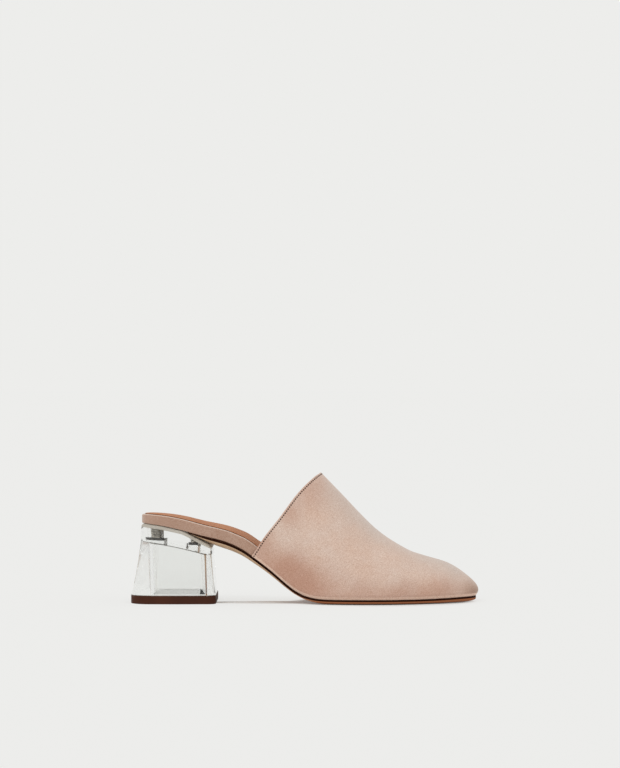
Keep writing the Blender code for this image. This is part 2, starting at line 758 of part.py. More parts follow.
def main():
    for obj in list(bpy.data.objects):
        bpy.data.objects.remove(obj)
    suede = finish("blush suede", (0.60, 0.42, 0.33), 0.95)
    wrap = finish("wrapped suede edge", (0.42, 0.27, 0.20), 0.95)
    sock = finish("tan sock leather", (0.55, 0.28, 0.15), 0.55)
    sole = finish("tan outsole", (0.42, 0.21, 0.10), 0.45)
    clear = finish("clear acrylic", (0.95, 0.96, 0.95), 0.02, transmission=1.0)
    lift = finish("brown top lift", (0.06, 0.025, 0.015), 0.55)
    metal = finish("nickel screw", (0.70, 0.66, 0.60), 0.25, metallic=1.0)
    build_upper(suede)
    build_board(wrap)
    build_sock(sock)
    build_outsole(sole)
    build_heel(clear, metal)
    build_lift(lift)


main()
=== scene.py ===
import math
from collections import namedtuple

import bmesh
import bpy
import numpy as np
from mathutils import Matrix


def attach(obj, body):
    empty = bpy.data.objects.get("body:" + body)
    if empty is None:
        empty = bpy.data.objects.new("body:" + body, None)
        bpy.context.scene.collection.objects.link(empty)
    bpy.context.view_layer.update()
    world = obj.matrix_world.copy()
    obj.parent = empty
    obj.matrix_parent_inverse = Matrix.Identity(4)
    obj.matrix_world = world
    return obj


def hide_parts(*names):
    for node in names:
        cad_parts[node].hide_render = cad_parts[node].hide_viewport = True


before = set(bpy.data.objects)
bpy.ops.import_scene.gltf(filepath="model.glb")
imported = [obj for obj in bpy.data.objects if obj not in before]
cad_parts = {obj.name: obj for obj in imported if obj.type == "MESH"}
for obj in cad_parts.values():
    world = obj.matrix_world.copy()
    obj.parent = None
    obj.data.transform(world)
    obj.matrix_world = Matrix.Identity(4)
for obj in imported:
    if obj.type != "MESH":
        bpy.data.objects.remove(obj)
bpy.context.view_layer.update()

# Insole board. The foot-shaped board that the shoe is built on: pressed fibre, thick from the heel to the
# arch and thin under the toes. The upper's suede is wrapped over its edge and glued, so the band above the
# heel is suede too, and the board's top is sunk a little for the sock.

MM = 0.001

SHOE_LENGTH = 245.9 * MM
SEAT_WIDTH = 56.0 * MM
BALL_WIDTH = 78.0 * MM
SEAT_HEIGHT = 57.8 * MM
ARCH_TWIST = 3.0 * MM
TOE_SPRING = 0.7 * MM
BACK_OVERHANG = 25.7 * MM
HEEL_ROUNDING = 26.0 * MM
TOE_ROUNDING = 34.0 * MM
HEEL_SQUARENESS = 2.6
TOE_SQUARENESS = 2.35
WIDENS_FROM = 0.25
WIDENS_OVER = 0.35
SPRING_FROM = 0.80
TUCK_FROM = 0.34
TUCK_OVER = 0.14
HEEL_BACK_CALM = 6.5 * MM
CLEARANCE = 0.3 * MM
UPPER_WALL = 1.4 * MM
FEATHER_TUCK = 2.0 * MM
REAR_TUCK = 0.4 * MM
OUTSOLE_FOREFOOT = 3.3 * MM
BOARD_THICKNESS = 7.9 * MM
BOARD_FOREFOOT = 3.0 * MM
BOARD_EDGE_ROUND = 1.2 * MM
BOARD_FOOT_ROUND = 0.5 * MM
SOCK_THICKNESS = 1.0 * MM
SOCK_INSET = 2.2 * MM
SOCK_PROUD = 0.6 * MM
TIP_FLAT = 0.02 * MM
END_CROWDING = 0.9
FOOT_STATIONS = 200
EDGE_STEPS = 6

HEEL_BACK_X = -BACK_OVERHANG
TOE_X = SHOE_LENGTH - BACK_OVERHANG
FEATHER_HEIGHT = OUTSOLE_FOREFOOT + CLEARANCE
SEAT_RISE = SEAT_HEIGHT - FEATHER_HEIGHT

# along: share of the length from the back. half: share of the local width. swing: share of the ball's width.
Outline = namedtuple("Outline", "along half swing")
OUTLINE = [Outline(*row) for row in (
    (0.00, 0.465, 0.000),
    (0.08, 0.493, 0.000),
    (0.15, 0.500, 0.000),
    (0.22, 0.495, -0.002),
    (0.30, 0.455, -0.012),
    (0.38, 0.415, -0.030),
    (0.46, 0.405, -0.041),
    (0.55, 0.432, -0.040),
    (0.62, 0.477, -0.033),
    (0.68, 0.497, -0.020),
    (0.73, 0.497, -0.006),
    (0.80, 0.459, 0.010),
    (0.87, 0.392, 0.023),
    (0.93, 0.330, 0.037),
    (1.00, 0.260, 0.055),
)]

# rise: share of the seat's rise at the lateral edge. twist: how much higher the medial edge is.
Feather = namedtuple("Feather", "along rise twist")
FEATHER = [Feather(*row) for row in (
    (0.0000, 1.000, -0.30),
    (0.0659, 0.967, -0.30),
    (0.1248, 0.911, -0.15),
    (0.1830, 0.841, 0.00),
    (0.2530, 0.761, 0.25),
    (0.2993, 0.670, 0.50),
    (0.3461, 0.526, 0.70),
    (0.3924, 0.362, 1.00),
    (0.4388, 0.180, 0.90),
    (0.4624, 0.102, 0.70),
    (0.4912, 0.040, 0.45),
    (0.5262, 0.008, 0.15),
    (0.5600, 0.000, 0.00),
    (1.0000, 0.000, 0.00),
)]

# thick: share of the way from the thin forefoot to the full thickness.
Board = namedtuple("Board", "along thick")
BOARD = [Board(*row) for row in (
    (0.00, 0.61),
    (0.03, 0.79),
    (0.06, 0.86),
    (0.13, 0.98),
    (0.25, 0.96),
    (0.40, 0.89),
    (0.52, 0.00),
    (1.00, 0.00),
)]


def fair_curve(knots, values):
    """A smooth curve through the knots that never overshoots them."""
    knots = np.asarray(knots, float)
    values = np.asarray(values, float)
    steps = np.diff(knots)
    slopes = np.diff(values) / steps
    tangents = np.zeros(len(knots))
    tangents[0], tangents[-1] = slopes[0], slopes[-1]
    for i in range(1, len(knots) - 1):
        if slopes[i - 1] * slopes[i] > 0:
            w1 = 2 * steps[i] + steps[i - 1]
            w2 = steps[i] + 2 * steps[i - 1]
            tangents[i] = (w1 + w2) / (w1 / slopes[i - 1] + w2 / slopes[i])

    def curve(x):
        x = np.clip(x, knots[0], knots[-1])
        i = np.clip(np.searchsorted(knots, x, side="right") - 1, 0, len(steps) - 1)
        t = (x - knots[i]) / steps[i]
        a = values[i] * (1 + 2 * t) * (1 - t) ** 2 + values[i + 1] * t * t * (3 - 2 * t)
        b = steps[i] * (tangents[i] * t * (1 - t) ** 2 + tangents[i + 1] * t * t * (t - 1))
        return a + b

    return curve


def column(table, name):
    """One column of a table as a fair curve over its first column."""
    return fair_curve([row[0] for row in table], [getattr(row, name) for row in table])


half_share = column(OUTLINE, "half")
swing_share = column(OUTLINE, "swing")
rise_share = column(FEATHER, "rise")
twist_share = column(FEATHER, "twist")
thick_share = column(BOARD, "thick")


def ease(t):
    t = np.clip(t, 0.0, 1.0)
    return t * t * (3 - 2 * t)


def blunt(t, power):
    """Falls from 1 to 0 like a rounded nose."""
    t = np.clip(t, 0.0, 1.0)
    return (1 - t**power) ** (1 / power)


def along(x):
    return (x - HEEL_BACK_X) / SHOE_LENGTH


def centre(x):
    return BALL_WIDTH * swing_share(along(x))


def half_width(x):
    local = SEAT_WIDTH + (BALL_WIDTH - SEAT_WIDTH) * ease((along(x) - WIDENS_FROM) / WIDENS_OVER)
    heel_end = blunt((HEEL_BACK_X + HEEL_ROUNDING - x) / HEEL_ROUNDING, HEEL_SQUARENESS)
    toe_end = blunt((x - TOE_X + TOE_ROUNDING) / TOE_ROUNDING, TOE_SQUARENESS)
    return local * half_share(along(x)) * heel_end * toe_end


def outline(x, side, inset=0.0):
    """The last's outline, side -1 lateral or 1 medial, moved in at right angles by inset."""
    step = 0.01 * MM
    rate = (half_width(x + step) - half_width(x - step)) / (2 * step)
    drift = (centre(x + step) - centre(x - step)) / (2 * step)
    nx = -(rate + side * drift)
    length = np.hypot(nx, 1.0)
    return x - inset * nx / length, centre(x) + side * (half_width(x) - inset / length)


def tuck(x):
    """How far the upper's foot is drawn in below its side bulge."""
    return REAR_TUCK + (FEATHER_TUCK - REAR_TUCK) * ease((along(x) - TUCK_FROM) / TUCK_OVER)


def board_inset(x):
    return UPPER_WALL + CLEARANCE + tuck(x)


def seat_height(x, across):
    """Height of the surface that upper and board stand on, across from -1 lateral to 1 medial."""
    a = along(x)
    lift = ARCH_TWIST * twist_share(a) * (1 + across) / 2
    spring = TOE_SPRING * ease((a - SPRING_FROM) / (1 - SPRING_FROM))
    return FEATHER_HEIGHT + SEAT_RISE * rise_share(a) + lift + spring


def steepness(x):
    step = 0.5 * MM
    return np.hypot(1.0, (seat_height(x + step, 0.0) - seat_height(x - step, 0.0)) / (2 * step))


def across_at(x, y):
    half = np.maximum(half_width(x) - board_inset(x), HEEL_BACK_CALM)
    return np.clip((y - centre(x)) / half, -1.1, 1.1)


def board_top(x, across):
    thick = BOARD_FOREFOOT + (BOARD_THICKNESS - BOARD_FOREFOOT) * thick_share(along(x))
    return seat_height(x, across) + thick * steepness(x)


def spread(start, end, count, round_start=True):
    """Stations from start to end, crowded towards the toe, and towards the start too where that is round."""
    even = np.linspace(0.0, 1.0, count)
    crowded = (1 - np.cos(math.pi * even)) / 2 if round_start else 1 - (1 - even) ** 2
    return start + (end - start) * (even + (crowded - even) * END_CROWDING)


def new_piece(name, points, faces, materials, face_slots=None, sharp_deg=40):
    """A mesh object from points and faces, smooth apart from its sharp edges, with its faces pointing out."""
    mesh = bpy.data.meshes.new(name)
    mesh.from_pydata(np.asarray(points).tolist(), [], faces)
    for material in materials:
        mesh.materials.append(material)
    if face_slots is not None:
        mesh.polygons.foreach_set("material_index", face_slots)
    tool = bmesh.new()
    tool.from_mesh(mesh)
    bmesh.ops.remove_doubles(tool, verts=tool.verts, dist=0.001 * MM)
    bmesh.ops.recalc_face_normals(tool, faces=tool.faces)
    tool.to_mesh(mesh)
    tool.free()
    mesh.shade_smooth()
    mesh.set_sharp_from_angle(angle=math.radians(sharp_deg))
    piece = bpy.data.objects.new(name, mesh)
    bpy.context.scene.collection.objects.link(piece)
    return piece


def tube_faces(rings, count):
    """Quads of a tube through rings of count points."""
    faces = []
    for r in range(rings - 1):
        for i in range(count):
            j = (i + 1) % count
            faces.append((r * count + i, r * count + j, (r + 1) * count + j, (r + 1) * count + i))
    return faces


def capped_faces(rings, count):
    """Faces of a tube through rings of count points, with a face over each end."""
    last = (rings - 1) * count
    return tube_faces(rings, count) + [tuple(range(count)), tuple(range(last, last + count))]


def zipped(first, count):
    """Quads that close a ring whose points run up one side and back down the other."""
    half = count // 2
    return [(first + i, first + i + 1, first + count - 2 - i, first + count - 1 - i) for i in range(half - 1)]


def foot_layer(name, inset, section, materials, slot_of=None):
    """A layer over the whole foot. section: rows, bottom up, of distance in from its edge and height."""
    x = spread(HEEL_BACK_X + TIP_FLAT, TOE_X - TIP_FLAT, FOOT_STATIONS)
    columns = []
    for side, rows in ((-1, section), (1, section[::-1])):
        for distance, height in rows:
            px, py = outline(x, side, inset(x) + distance)
            columns.append(np.stack([px, py, height(px, across_at(px, py))], axis=-1))
    rings = np.stack(columns, axis=1)
    count = len(columns)
    faces = tube_faces(len(x), count) + zipped(0, count) + zipped((len(x) - 1) * count, count)
    slots = None
    if slot_of:
        slots = [slot_of(min(f[0] % count, count - 1 - f[0] % count)) for f in faces]
    return new_piece(name, rings.reshape(-1, 3), faces, materials, slots)


def quarter(radius, steps=EDGE_STEPS):
    """A rounded edge as pairs of distance in and distance down, from the side to the top."""
    turns = [i * math.pi / 2 / steps for i in range(steps + 1)]
    return [(radius * (1 - math.cos(t)), radius * (1 - math.sin(t))) for t in turns]


def below(surface, drop):
    return lambda x, across: surface(x, across) - drop


def new_material(name, colour, roughness, **sockets):
    """A Principled material. Sockets are given by their names with underscores for spaces."""
    material = bpy.data.materials.new(name)
    material.use_nodes = True
    shader = material.node_tree.nodes["Principled BSDF"]
    shader.inputs["Base Color"].default_value = (*colour, 1.0)
    shader.inputs["Roughness"].default_value = roughness
    for socket, value in sockets.items():
        shader.inputs[socket.replace("_", " ")].default_value = value
    return material


def wired(tree, kind, settings=None, **inputs):
    """A new node's outputs. Inputs are values or other outputs, by name or by number after an underscore."""
    node = tree.nodes.new(kind)
    for key, value in (settings or {}).items():
        setattr(node, key, value)
    for key, value in inputs.items():
        socket = node.inputs[int(key[1:]) if key[1:].isdigit() else key.replace("_", " ")]
        if isinstance(value, bpy.types.NodeSocket):
            tree.links.new(value, socket)
        else:
            socket.default_value = value
    return node.outputs


def add(material, kind, settings=None, **inputs):
    return wired(material.node_tree, "ShaderNode" + kind, settings, **inputs)


def place_on(material):
    return add(material, "TexCoord")["Object"]


def feed(material, **inputs):
    shader = material.node_tree.nodes["Principled BSDF"]
    for key, value in inputs.items():
        material.node_tree.links.new(value, shader.inputs[key.replace("_", " ")])


def noise(material, scale, detail, roughness):
    where = place_on(material)
    return add(material, "TexNoise", Vector=where, Scale=scale, Detail=detail, Roughness=roughness)["Fac"]


def shifted(material, value, low, high, to_low=0.0, to_high=1.0):
    """A value from one range to another, clamped."""
    return add(
        material, "MapRange", {"clamp": True}, Value=value,
        From_Min=low, From_Max=high, To_Min=to_low, To_Max=to_high,
    )["Result"]


def mixed(material, share, one, other, blend="MIX"):
    """Two colours mixed. Inputs 6 and 7 and output 2 of the node are its colour sockets."""
    return add(material, "Mix", {"data_type": "RGBA", "blend_type": blend}, _0=share, _6=one, _7=other)[2]


def rgba(red, green, blue):
    return (red, green, blue, 1.0)


def hexed(text):
    """A colour as a screen shows it, from six hexadecimal digits, in the renderer's linear values."""
    parts = [int(text[i:i + 2], 16) / 255 for i in (0, 2, 4)]
    return tuple(p / 12.92 if p <= 0.04045 else ((p + 0.055) / 1.055) ** 2.4 for p in parts)


def near(material, where, middle, reach):
    """1 in the middle of a place and 0 from its reach outwards, which is a length along each axis."""
    scaled = add(
        material, "Mapping", Vector=where, Scale=[1 / r for r in reach],
        Location=[-m / r for m, r in zip(middle, reach)],
    )["Vector"]
    return add(material, "TexGradient", {"gradient_type": "SPHERICAL"}, Vector=scaled)["Fac"]


def soft_spot(material, middle, reach):
    """1 in the middle of a place on the shoe and 0 at its reach, with an uneven edge."""
    where = place_on(material)
    wander = SPOT_WANDER * reach[0]
    stray = add(material, "TexNoise", Vector=where, Scale=SPOT_RAGGED, Detail=2.0)["Color"]
    moved = add(material, "VectorMath", {"operation": "MULTIPLY_ADD"}, _0=stray, _1=(wander,) * 3, _2=where)
    inside = near(material, moved["Vector"], [m + wander / 2 for m in middle], reach)
    return add(material, "MapRange", {"interpolation_type": "SMOOTHSTEP"}, Value=inside)["Result"]


def suede(name, colour, pale, spots=()):
    """Fine-napped suede: matt, mottled like the real grain, with a soft sheen and brushed clouds."""
    material = new_material(
        name, colour, 0.95, Sheen_Weight=0.32, Sheen_Roughness=0.5, Sheen_Tint=SUEDE_SHEEN,
        Specular_IOR_Level=0.08,
    )
    clouds = noise(material, SUEDE_CLOUDS, 5.0, 0.6)
    grain = noise(material, SUEDE_GRAIN, 5.0, 0.8)
    fibre = noise(material, SUEDE_FIBRE, 2.0, 0.6)
    tint = mixed(material, shifted(material, clouds, 0.35, 0.68), rgba(*colour), rgba(*pale))
    # Any spots are mixed into the colour; on the upper they are patches of painted shade and sheen.
    for share, middle, reach, spot_colour in spots:
        place = soft_spot(material, middle, reach)
        strength = add(material, "Math", {"operation": "MULTIPLY"}, _0=place, _1=share)["Value"]
        tint = mixed(material, strength, tint, rgba(*spot_colour))
    speckle = shifted(material, grain, 0.38, 0.62, 0.0, 0.85)
    feed(material, Base_Color=mixed(material, speckle, tint, rgba(*SUEDE_SHADE), "MULTIPLY"))
    height = add(material, "Math", {"operation": "MULTIPLY_ADD"}, _0=fibre, _1=0.45, _2=grain)["Value"]
    feed(material, Normal=add(material, "Bump", Strength=0.5, Distance=NAP_DEPTH, Height=height)["Normal"])
    return material


WRAP_BLUSH = hexed("b99a88")
WRAP_PALE = hexed("c0a392")
# Paler suede painted on the wrapped edge's top rounding, as the highlight that edge catches.
WRAP_HIGHLIGHT = hexed("dcc6b8")
SUEDE_SHADE = hexed("d2bfb4")
SUEDE_SHEEN = rgba(1.0, 0.96, 0.93)
SUEDE_CLOUDS = 42.0
SUEDE_GRAIN = 1500.0
SUEDE_FIBRE = 4800.0
NAP_DEPTH = 0.10 * MM
SPOT_WANDER = 0.25
SPOT_RAGGED = 60.0
# Rows of the wrapped edge's top rounding, which are painted paler as its highlight.
HIGHLIGHT_ROWS = range(EDGE_STEPS + 4, 2 * EDGE_STEPS + 3)
SECTION_REACH = SEAT_WIDTH / 5

rim_width = SOCK_INSET - CLEARANCE
sink = SOCK_THICKNESS + CLEARANCE - SOCK_PROUD
board_section = [(SECTION_REACH, seat_height)]
board_section += [(inwards, below(seat_height, -up)) for inwards, up in reversed(quarter(BOARD_FOOT_ROUND))]
board_section += [(inwards, below(board_top, drop)) for inwards, drop in quarter(BOARD_EDGE_ROUND)]
board_section += [(rim_width, board_top)]
board_section += [(inwards, below(board_top, sink)) for inwards in (rim_width, SECTION_REACH)]
wrap_suede = suede("wrapped_suede", WRAP_BLUSH, WRAP_PALE)
# The top rounding of the wrapped edge gets the paler suede: a painted highlight.
painted_highlight_suede = suede("painted_highlight_suede_edge", WRAP_HIGHLIGHT, WRAP_HIGHLIGHT)
insole_board = foot_layer(
    "insole_board_wrapped", board_inset, board_section, [wrap_suede, painted_highlight_suede],
    lambda row: 1 if row in HIGHLIGHT_ROWS else 0,
)
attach(insole_board, "root")
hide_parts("insole_board")

# Sock. A thin tan leather lining cut to the board's shape, glued down inside the wrapped rim. Its cut edge is
# dark brown, painted darker still as the shade in the groove along the rim, and its finish is smooth with
# fine pores and a low shine.

SOCK_EDGE_ROUND = 0.4 * MM
SOCK_TAN = hexed("ba7d54")
SOCK_AMBER = hexed("a86a45")
# Dark brown for the sock's cut edge, deepened to paint the shade in the groove between sock and rim.
SOCK_EDGE = hexed("46220f")
SOCK_EDGE_ROWS = 4
LEATHER_CLOUDS = 38.0
CREASES_TO_PORES = 1.8


def sock_top(x, across):
    return board_top(x, across) + SOCK_PROUD


def leather(name, colour, deep, roughness, pore_scale, pore_depth, shine=0.12):
    """Smooth dyed leather with pores, a faint cloudiness, and its gloss broken by the grain."""
    material = new_material(name, colour, roughness, Specular_IOR_Level=shine)
    clouds = noise(material, LEATHER_CLOUDS, 4.0, 0.6)
    cells = add(
        material, "TexVoronoi", {"feature": "SMOOTH_F1"}, Vector=place_on(material),
        Scale=pore_scale, Smoothness=0.6,
    )["Distance"]
    fine = noise(material, pore_scale * CREASES_TO_PORES, 4.0, 0.7)
    tint = mixed(material, shifted(material, clouds, 0.35, 0.70), rgba(*colour), rgba(*deep))
    feed(material, Base_Color=tint)
    feed(material, Roughness=shifted(material, fine, 0.3, 0.7, roughness - 0.07, roughness + 0.10))
    height = add(material, "Math", {"operation": "MULTIPLY_ADD"}, _0=fine, _1=0.5, _2=cells)["Value"]
    feed(material, Normal=add(material, "Bump", Strength=0.35, Distance=pore_depth, Height=height)["Normal"])
    return material


sock_leather = leather("sock_leather", SOCK_TAN, SOCK_AMBER, 0.60, 1600.0, 0.05 * MM)
sock_edge_shade_leather = leather("sock_cut_edge_painted_shade", SOCK_EDGE, SOCK_EDGE, 0.7, 1600.0, 0.05 * MM)

sock_section = [(inwards, below(sock_top, SOCK_THICKNESS)) for inwards in (SECTION_REACH, 0.0)]
sock_section += [(inwards, below(sock_top, drop)) for inwards, drop in quarter(SOCK_EDGE_ROUND)]
sock_section += [(SECTION_REACH, sock_top)]
sock = foot_layer(
    "sock_leather_lining", lambda x: board_inset(x) + SOCK_INSET, sock_section,
    [sock_leather, sock_edge_shade_leather], lambda row: 1 if row < SOCK_EDGE_ROWS else 0,
)
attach(sock, "root")
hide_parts("sock_lining")

# Upper. One piece of blush suede with a leather lining, pulled over the last and glued under the board. Its
# edge at the opening is folded to the inside and sewn down with one row of stitches. The vamp has no seam.

INSTEP_HEIGHT = 94.2 * MM
NOSE_ROUNDING = 25.0 * MM
NOSE_SQUARENESS = 2.1
SIDE_BULGE_HEIGHT = 4.0 * MM
PEAK_FROM_BACK = 130.9 * MM
WING_FROM_BACK = 81.5 * MM
MEDIAL_SETBACK = 4.0 * MM
RIDGE_TO_MEDIAL = 2.0 * MM
TUCK_LINES = 10
ARCH_LINES = 70
UPPER_STATIONS = 210
RIM_STEPS = 8
HALVINGS = 40
EDGE_SETBACK = 1.0 * MM
FOLD_WIDTH = 6.0 * MM
STITCH_MARGIN = 1.5 * MM
SEAM_DEPTH = 0.05 * MM
SEAM_HALF_WIDTH = 0.45 * MM

PEAK_X = HEEL_BACK_X + PEAK_FROM_BACK
WING_X = HEEL_BACK_X + WING_FROM_BACK

# ahead: share of the way from peak to toe. height: share of the instep's height. fullness: 2 is an ellipse.
Ridge = namedtuple("Ridge", "ahead height fullness")
RIDGE = [Ridge(*row) for row in (
    (-0.450, 1.560, 2.0),
    (0.000, 1.000, 2.0),
    (0.076, 0.905, 2.0),
    (0.151, 0.810, 2.0),
    (0.252, 0.679, 2.1),
    (0.353, 0.559, 2.2),
    (0.429, 0.488, 2.3),
    (0.505, 0.431, 2.3),
    (0.580, 0.383, 2.3),
    (0.656, 0.353, 2.3),
    (0.782, 0.308, 2.2),
    (1.000, 0.200, 2.1),
)]

# forward: share of the way from wing to peak. up: share of the rise from the feather line to the peak.
Topline = namedtuple("Topline", "forward up")
TOPLINE = [Topline(*row) for row in (
    (-0.20, -0.22),
    (0.00, 0.000),
    (0.19, 0.240),
    (0.42, 0.487),
    (0.65, 0.740),
    (0.82, 0.886),
    (0.94, 0.970),
    (1.00, 1.000),
)]

ridge_share = column(RIDGE, "height")
fullness_at = column(RIDGE, "fullness")
topline_share = column(TOPLINE, "up")


def ridge_height(x):
    full = INSTEP_HEIGHT * ridge_share((x - PEAK_X) / (TOE_X - PEAK_X))
    foot = seat_height(x, 0.0) + SIDE_BULGE_HEIGHT
    return foot + (full - foot) * blunt((x - TOE_X + NOSE_ROUNDING) / NOSE_ROUNDING, NOSE_SQUARENESS)


def upper_point(x, side, rise):
    """The upper's outer face. rise is -1 at the feather line, 0 at the side bulge and 1 on the ridge."""
    foot = seat_height(x, side) + SIDE_BULGE_HEIGHT
    down = np.minimum(rise, 0.0)
    fx, fy = outline(x, side, tuck(x) * down * down)
    angle = np.maximum(rise, 0.0) * math.pi / 2
    fullness = fullness_at((x - PEAK_X) / (TOE_X - PEAK_X))
    out = np.maximum(np.cos(angle), 0.0) ** (2 / fullness)
    up = np.sin(angle) ** (2 / fullness)
    edge = centre(x) + side * half_width(x)
    middle = centre(x) + RIDGE_TO_MEDIAL * half_width(x) / (BALL_WIDTH / 2)
    low = rise <= 0
    px = np.where(low, fx, x)
    py = np.where(low, fy, middle + (edge - middle) * out)
    pz = np.where(low, foot + SIDE_BULGE_HEIGHT * down, foot + (ridge_height(x) - foot) * up)
    return np.stack([px, py, pz], axis=-1)


def topline_height(x, side, rise):
    low = seat_height(WING_X, -1.0)
    setback = np.where(side > 0, MEDIAL_SETBACK * (1 - np.maximum(rise, 0.0) ** 2), 0.0)
    return low + (INSTEP_HEIGHT - low) * topline_share((x - setback - WING_X) / (PEAK_X - WING_X))


def topline_station(side, rise):
    """Where lengthwise lines of the upper meet the opening's edge, found by halving."""
    behind = np.full(len(rise), WING_X - FEATHER_HEIGHT)
    ahead = np.full(len(rise), PEAK_X)
    for _ in range(HALVINGS):
        middle = (behind + ahead) / 2
        above = upper_point(middle, side, rise)[:, 2] > topline_height(middle, side, rise)
        behind = np.where(above, middle, behind)
        ahead = np.where(above, ahead, middle)
    return ahead


def unit(vectors):
    return vectors / np.maximum(np.linalg.norm(vectors, axis=-1, keepdims=True), 1e-12)


def surface_normals(grid):
    """Outward normals of the upper's grid, whose first axis runs to the toe and second over the foot."""
    return unit(np.cross(np.gradient(grid, axis=0), np.gradient(grid, axis=1)))


tuck_rises = np.linspace(-1, 0, TUCK_LINES, endpoint=False)
lateral_rises = np.concatenate([tuck_rises, np.linspace(0, 1, ARCH_LINES + 1)])
rises = np.concatenate([lateral_rises, lateral_rises[-2::-1]])
sides = np.concatenate([-np.ones(len(lateral_rises)), np.ones(len(lateral_rises) - 1)])
starts = topline_station(sides, rises) + EDGE_SETBACK
shares = spread(0.0, 1.0, UPPER_STATIONS)[:, None]
stations = starts + (TOE_X - TIP_FLAT - starts) * shares
outer = upper_point(stations, sides[None, :], np.broadcast_to(rises, stations.shape))
outer_normals = surface_normals(outer)
if np.mean(outer_normals[:, ARCH_LINES + TUCK_LINES, 2]) < 0:
    outer_normals = -outer_normals

backwards = unit(outer[0] - outer[1])
rim_line = unit(np.gradient(outer[0], axis=0))
square_on = np.linalg.norm(np.cross(backwards, rim_line), axis=-1)
steps = np.linalg.norm(np.diff(outer, axis=0), axis=-1)
run = np.concatenate([np.zeros((1, len(rises))), np.cumsum(steps, axis=0)])
from_edge = run * square_on + UPPER_WALL / 2
seam = SEAM_DEPTH * np.exp(-(((from_edge - STITCH_MARGIN) / SEAM_HALF_WIDTH) ** 2))
outer_face = outer - outer_normals * seam[..., None]
inner_face = outer - outer_normals * UPPER_WALL

out_of_opening = unit(np.cross(rim_line, outer_normals[0]))
out_of_opening *= np.sign(np.sum(out_of_opening * backwards, axis=-1, keepdims=True))
rim_middle = (outer[0] + inner_face[0]) / 2
rim_rows = []
for step in range(1, RIM_STEPS):
    turn = math.pi * step / RIM_STEPS
    direction = math.cos(turn) * outer_normals[0] + math.sin(turn) * out_of_opening
    rim_rows.append(rim_middle + UPPER_WALL / 2 * direction)

wall_rows = np.concatenate([inner_face[::-1], np.array(rim_rows)[::-1], outer_face])
rows, lines = wall_rows.shape[:2]
last_row, last_line = rows - 1, lines - 1
fold_row = UPPER_STATIONS - 1 - int(np.searchsorted(from_edge[:, ARCH_LINES], FOLD_WIDTH))
SUEDE_SLOT, LINING_SLOT, BOUNCE_LIT_SLOT = range(3)
wall_faces = []
wall_slots = []


def wall_face(slot, *corners):
    """A face of the wall. Corners are pairs of row and line, and a doubled corner makes a triangle."""
    wall_faces.append(list(dict.fromkeys(row * lines + line for row, line in corners)))
    wall_slots.append(slot)


for r in range(last_row):
    for i in range(last_line):
        # The turned-under strip at the foot gets a paler suede: painted bounce light from the floor.
        turned_in = min(i, last_line - 1 - i) < TUCK_LINES // 2
        slot = LINING_SLOT if r < fold_row else BOUNCE_LIT_SLOT if turned_in else SUEDE_SLOT
        wall_face(slot, (r, i), (r, i + 1), (r + 1, i + 1), (r + 1, i))
for r in range(rows // 2):
    slot = LINING_SLOT if r < fold_row else SUEDE_SLOT
    for i in (0, last_line):
        wall_face(slot, (r, i), (r + 1, i), (last_row - r - 1, i), (last_row - r, i))
for r, slot in ((0, LINING_SLOT), (last_row, SUEDE_SLOT)):
    for i in range(lines // 2):
        wall_face(slot, (r, i), (r, i + 1), (r, last_line - i - 1), (r, last_line - i))
wall_face(SUEDE_SLOT, (0, 0), (0, last_line), (last_row, last_line), (last_row, 0))

BLUSH = hexed("e1c7b7")
BLUSH_PALE = hexed("e4d1c5")
# Grey painted along the ridge as its sheen.
SHEEN_GREY = hexed("d0c6bf")
BLUSH_PINK = hexed("bc8b74")
# Taupe painted at the toe's foot as shade.
SHADE_TAUPE = hexed("a98b78")
# Paler suede for the turned-under strip, painted as the light bounced up from the floor.
BLUSH_BOUNCE_LIT = hexed("e8cbb9")
LINING = hexed("c9a488")
LINING_DEEP = hexed("bd9274")

# Patches of painted shade and sheen: the pink ones and the taupe one at the toe's foot are painted shade, and
# the grey ones along the ridge are painted sheen. Each patch: how strong it is, its middle, how far it
# reaches along each axis, and its colour.
PAINTED_SHADE_AND_SHEEN_PATCHES = [
    (0.72, (0.092, -0.030, 0.014), (0.044, 0.060, 0.026), BLUSH_PINK),
    (0.60, (0.076, -0.028, 0.027), (0.036, 0.050, 0.021), BLUSH_PINK),
    (0.40, (0.098, -0.020, 0.084), (0.024, 0.060, 0.026), BLUSH_PINK),
    (0.35, (0.084, -0.020, 0.065), (0.012, 0.060, 0.017), BLUSH_PINK),
    (0.45, (0.063, -0.024, 0.044), (0.014, 0.060, 0.019), BLUSH_PINK),
    (0.50, (0.150, -0.030, 0.004), (0.090, 0.060, 0.018), BLUSH_PINK),
    (0.85, (0.150, 0.000, 0.056), (0.060, 0.060, 0.030), SHEEN_GREY),
    (0.80, (0.190, 0.000, 0.036), (0.050, 0.060, 0.024), SHEEN_GREY),
    (0.60, (0.122, -0.010, 0.078), (0.030, 0.040, 0.030), SHEEN_GREY),
    (0.70, (0.208, 0.000, 0.026), (0.030, 0.060, 0.020), SHEEN_GREY),
    (0.85, (0.218, -0.005, 0.006), (0.016, 0.060, 0.018), SHADE_TAUPE),
    (0.35, (0.192, -0.030, 0.010), (0.034, 0.060, 0.014), BLUSH_PINK),
]
upper_suede = suede("blush_suede", BLUSH, BLUSH_PALE, PAINTED_SHADE_AND_SHEEN_PATCHES)
lining_leather = leather("lining_leather", LINING, LINING_DEEP, 0.5, 1500.0, 0.04 * MM)
bounce_lit_suede = suede("turned_under_suede_painted_bounce_light", BLUSH_BOUNCE_LIT, BLUSH_BOUNCE_LIT)
upper = new_piece(
    "upper_suede_shell", wall_rows.reshape(-1, 3), wall_faces, [upper_suede, lining_leather, bounce_lit_suede],
    wall_slots, sharp_deg=60,
)
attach(upper, "root")
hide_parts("upper")

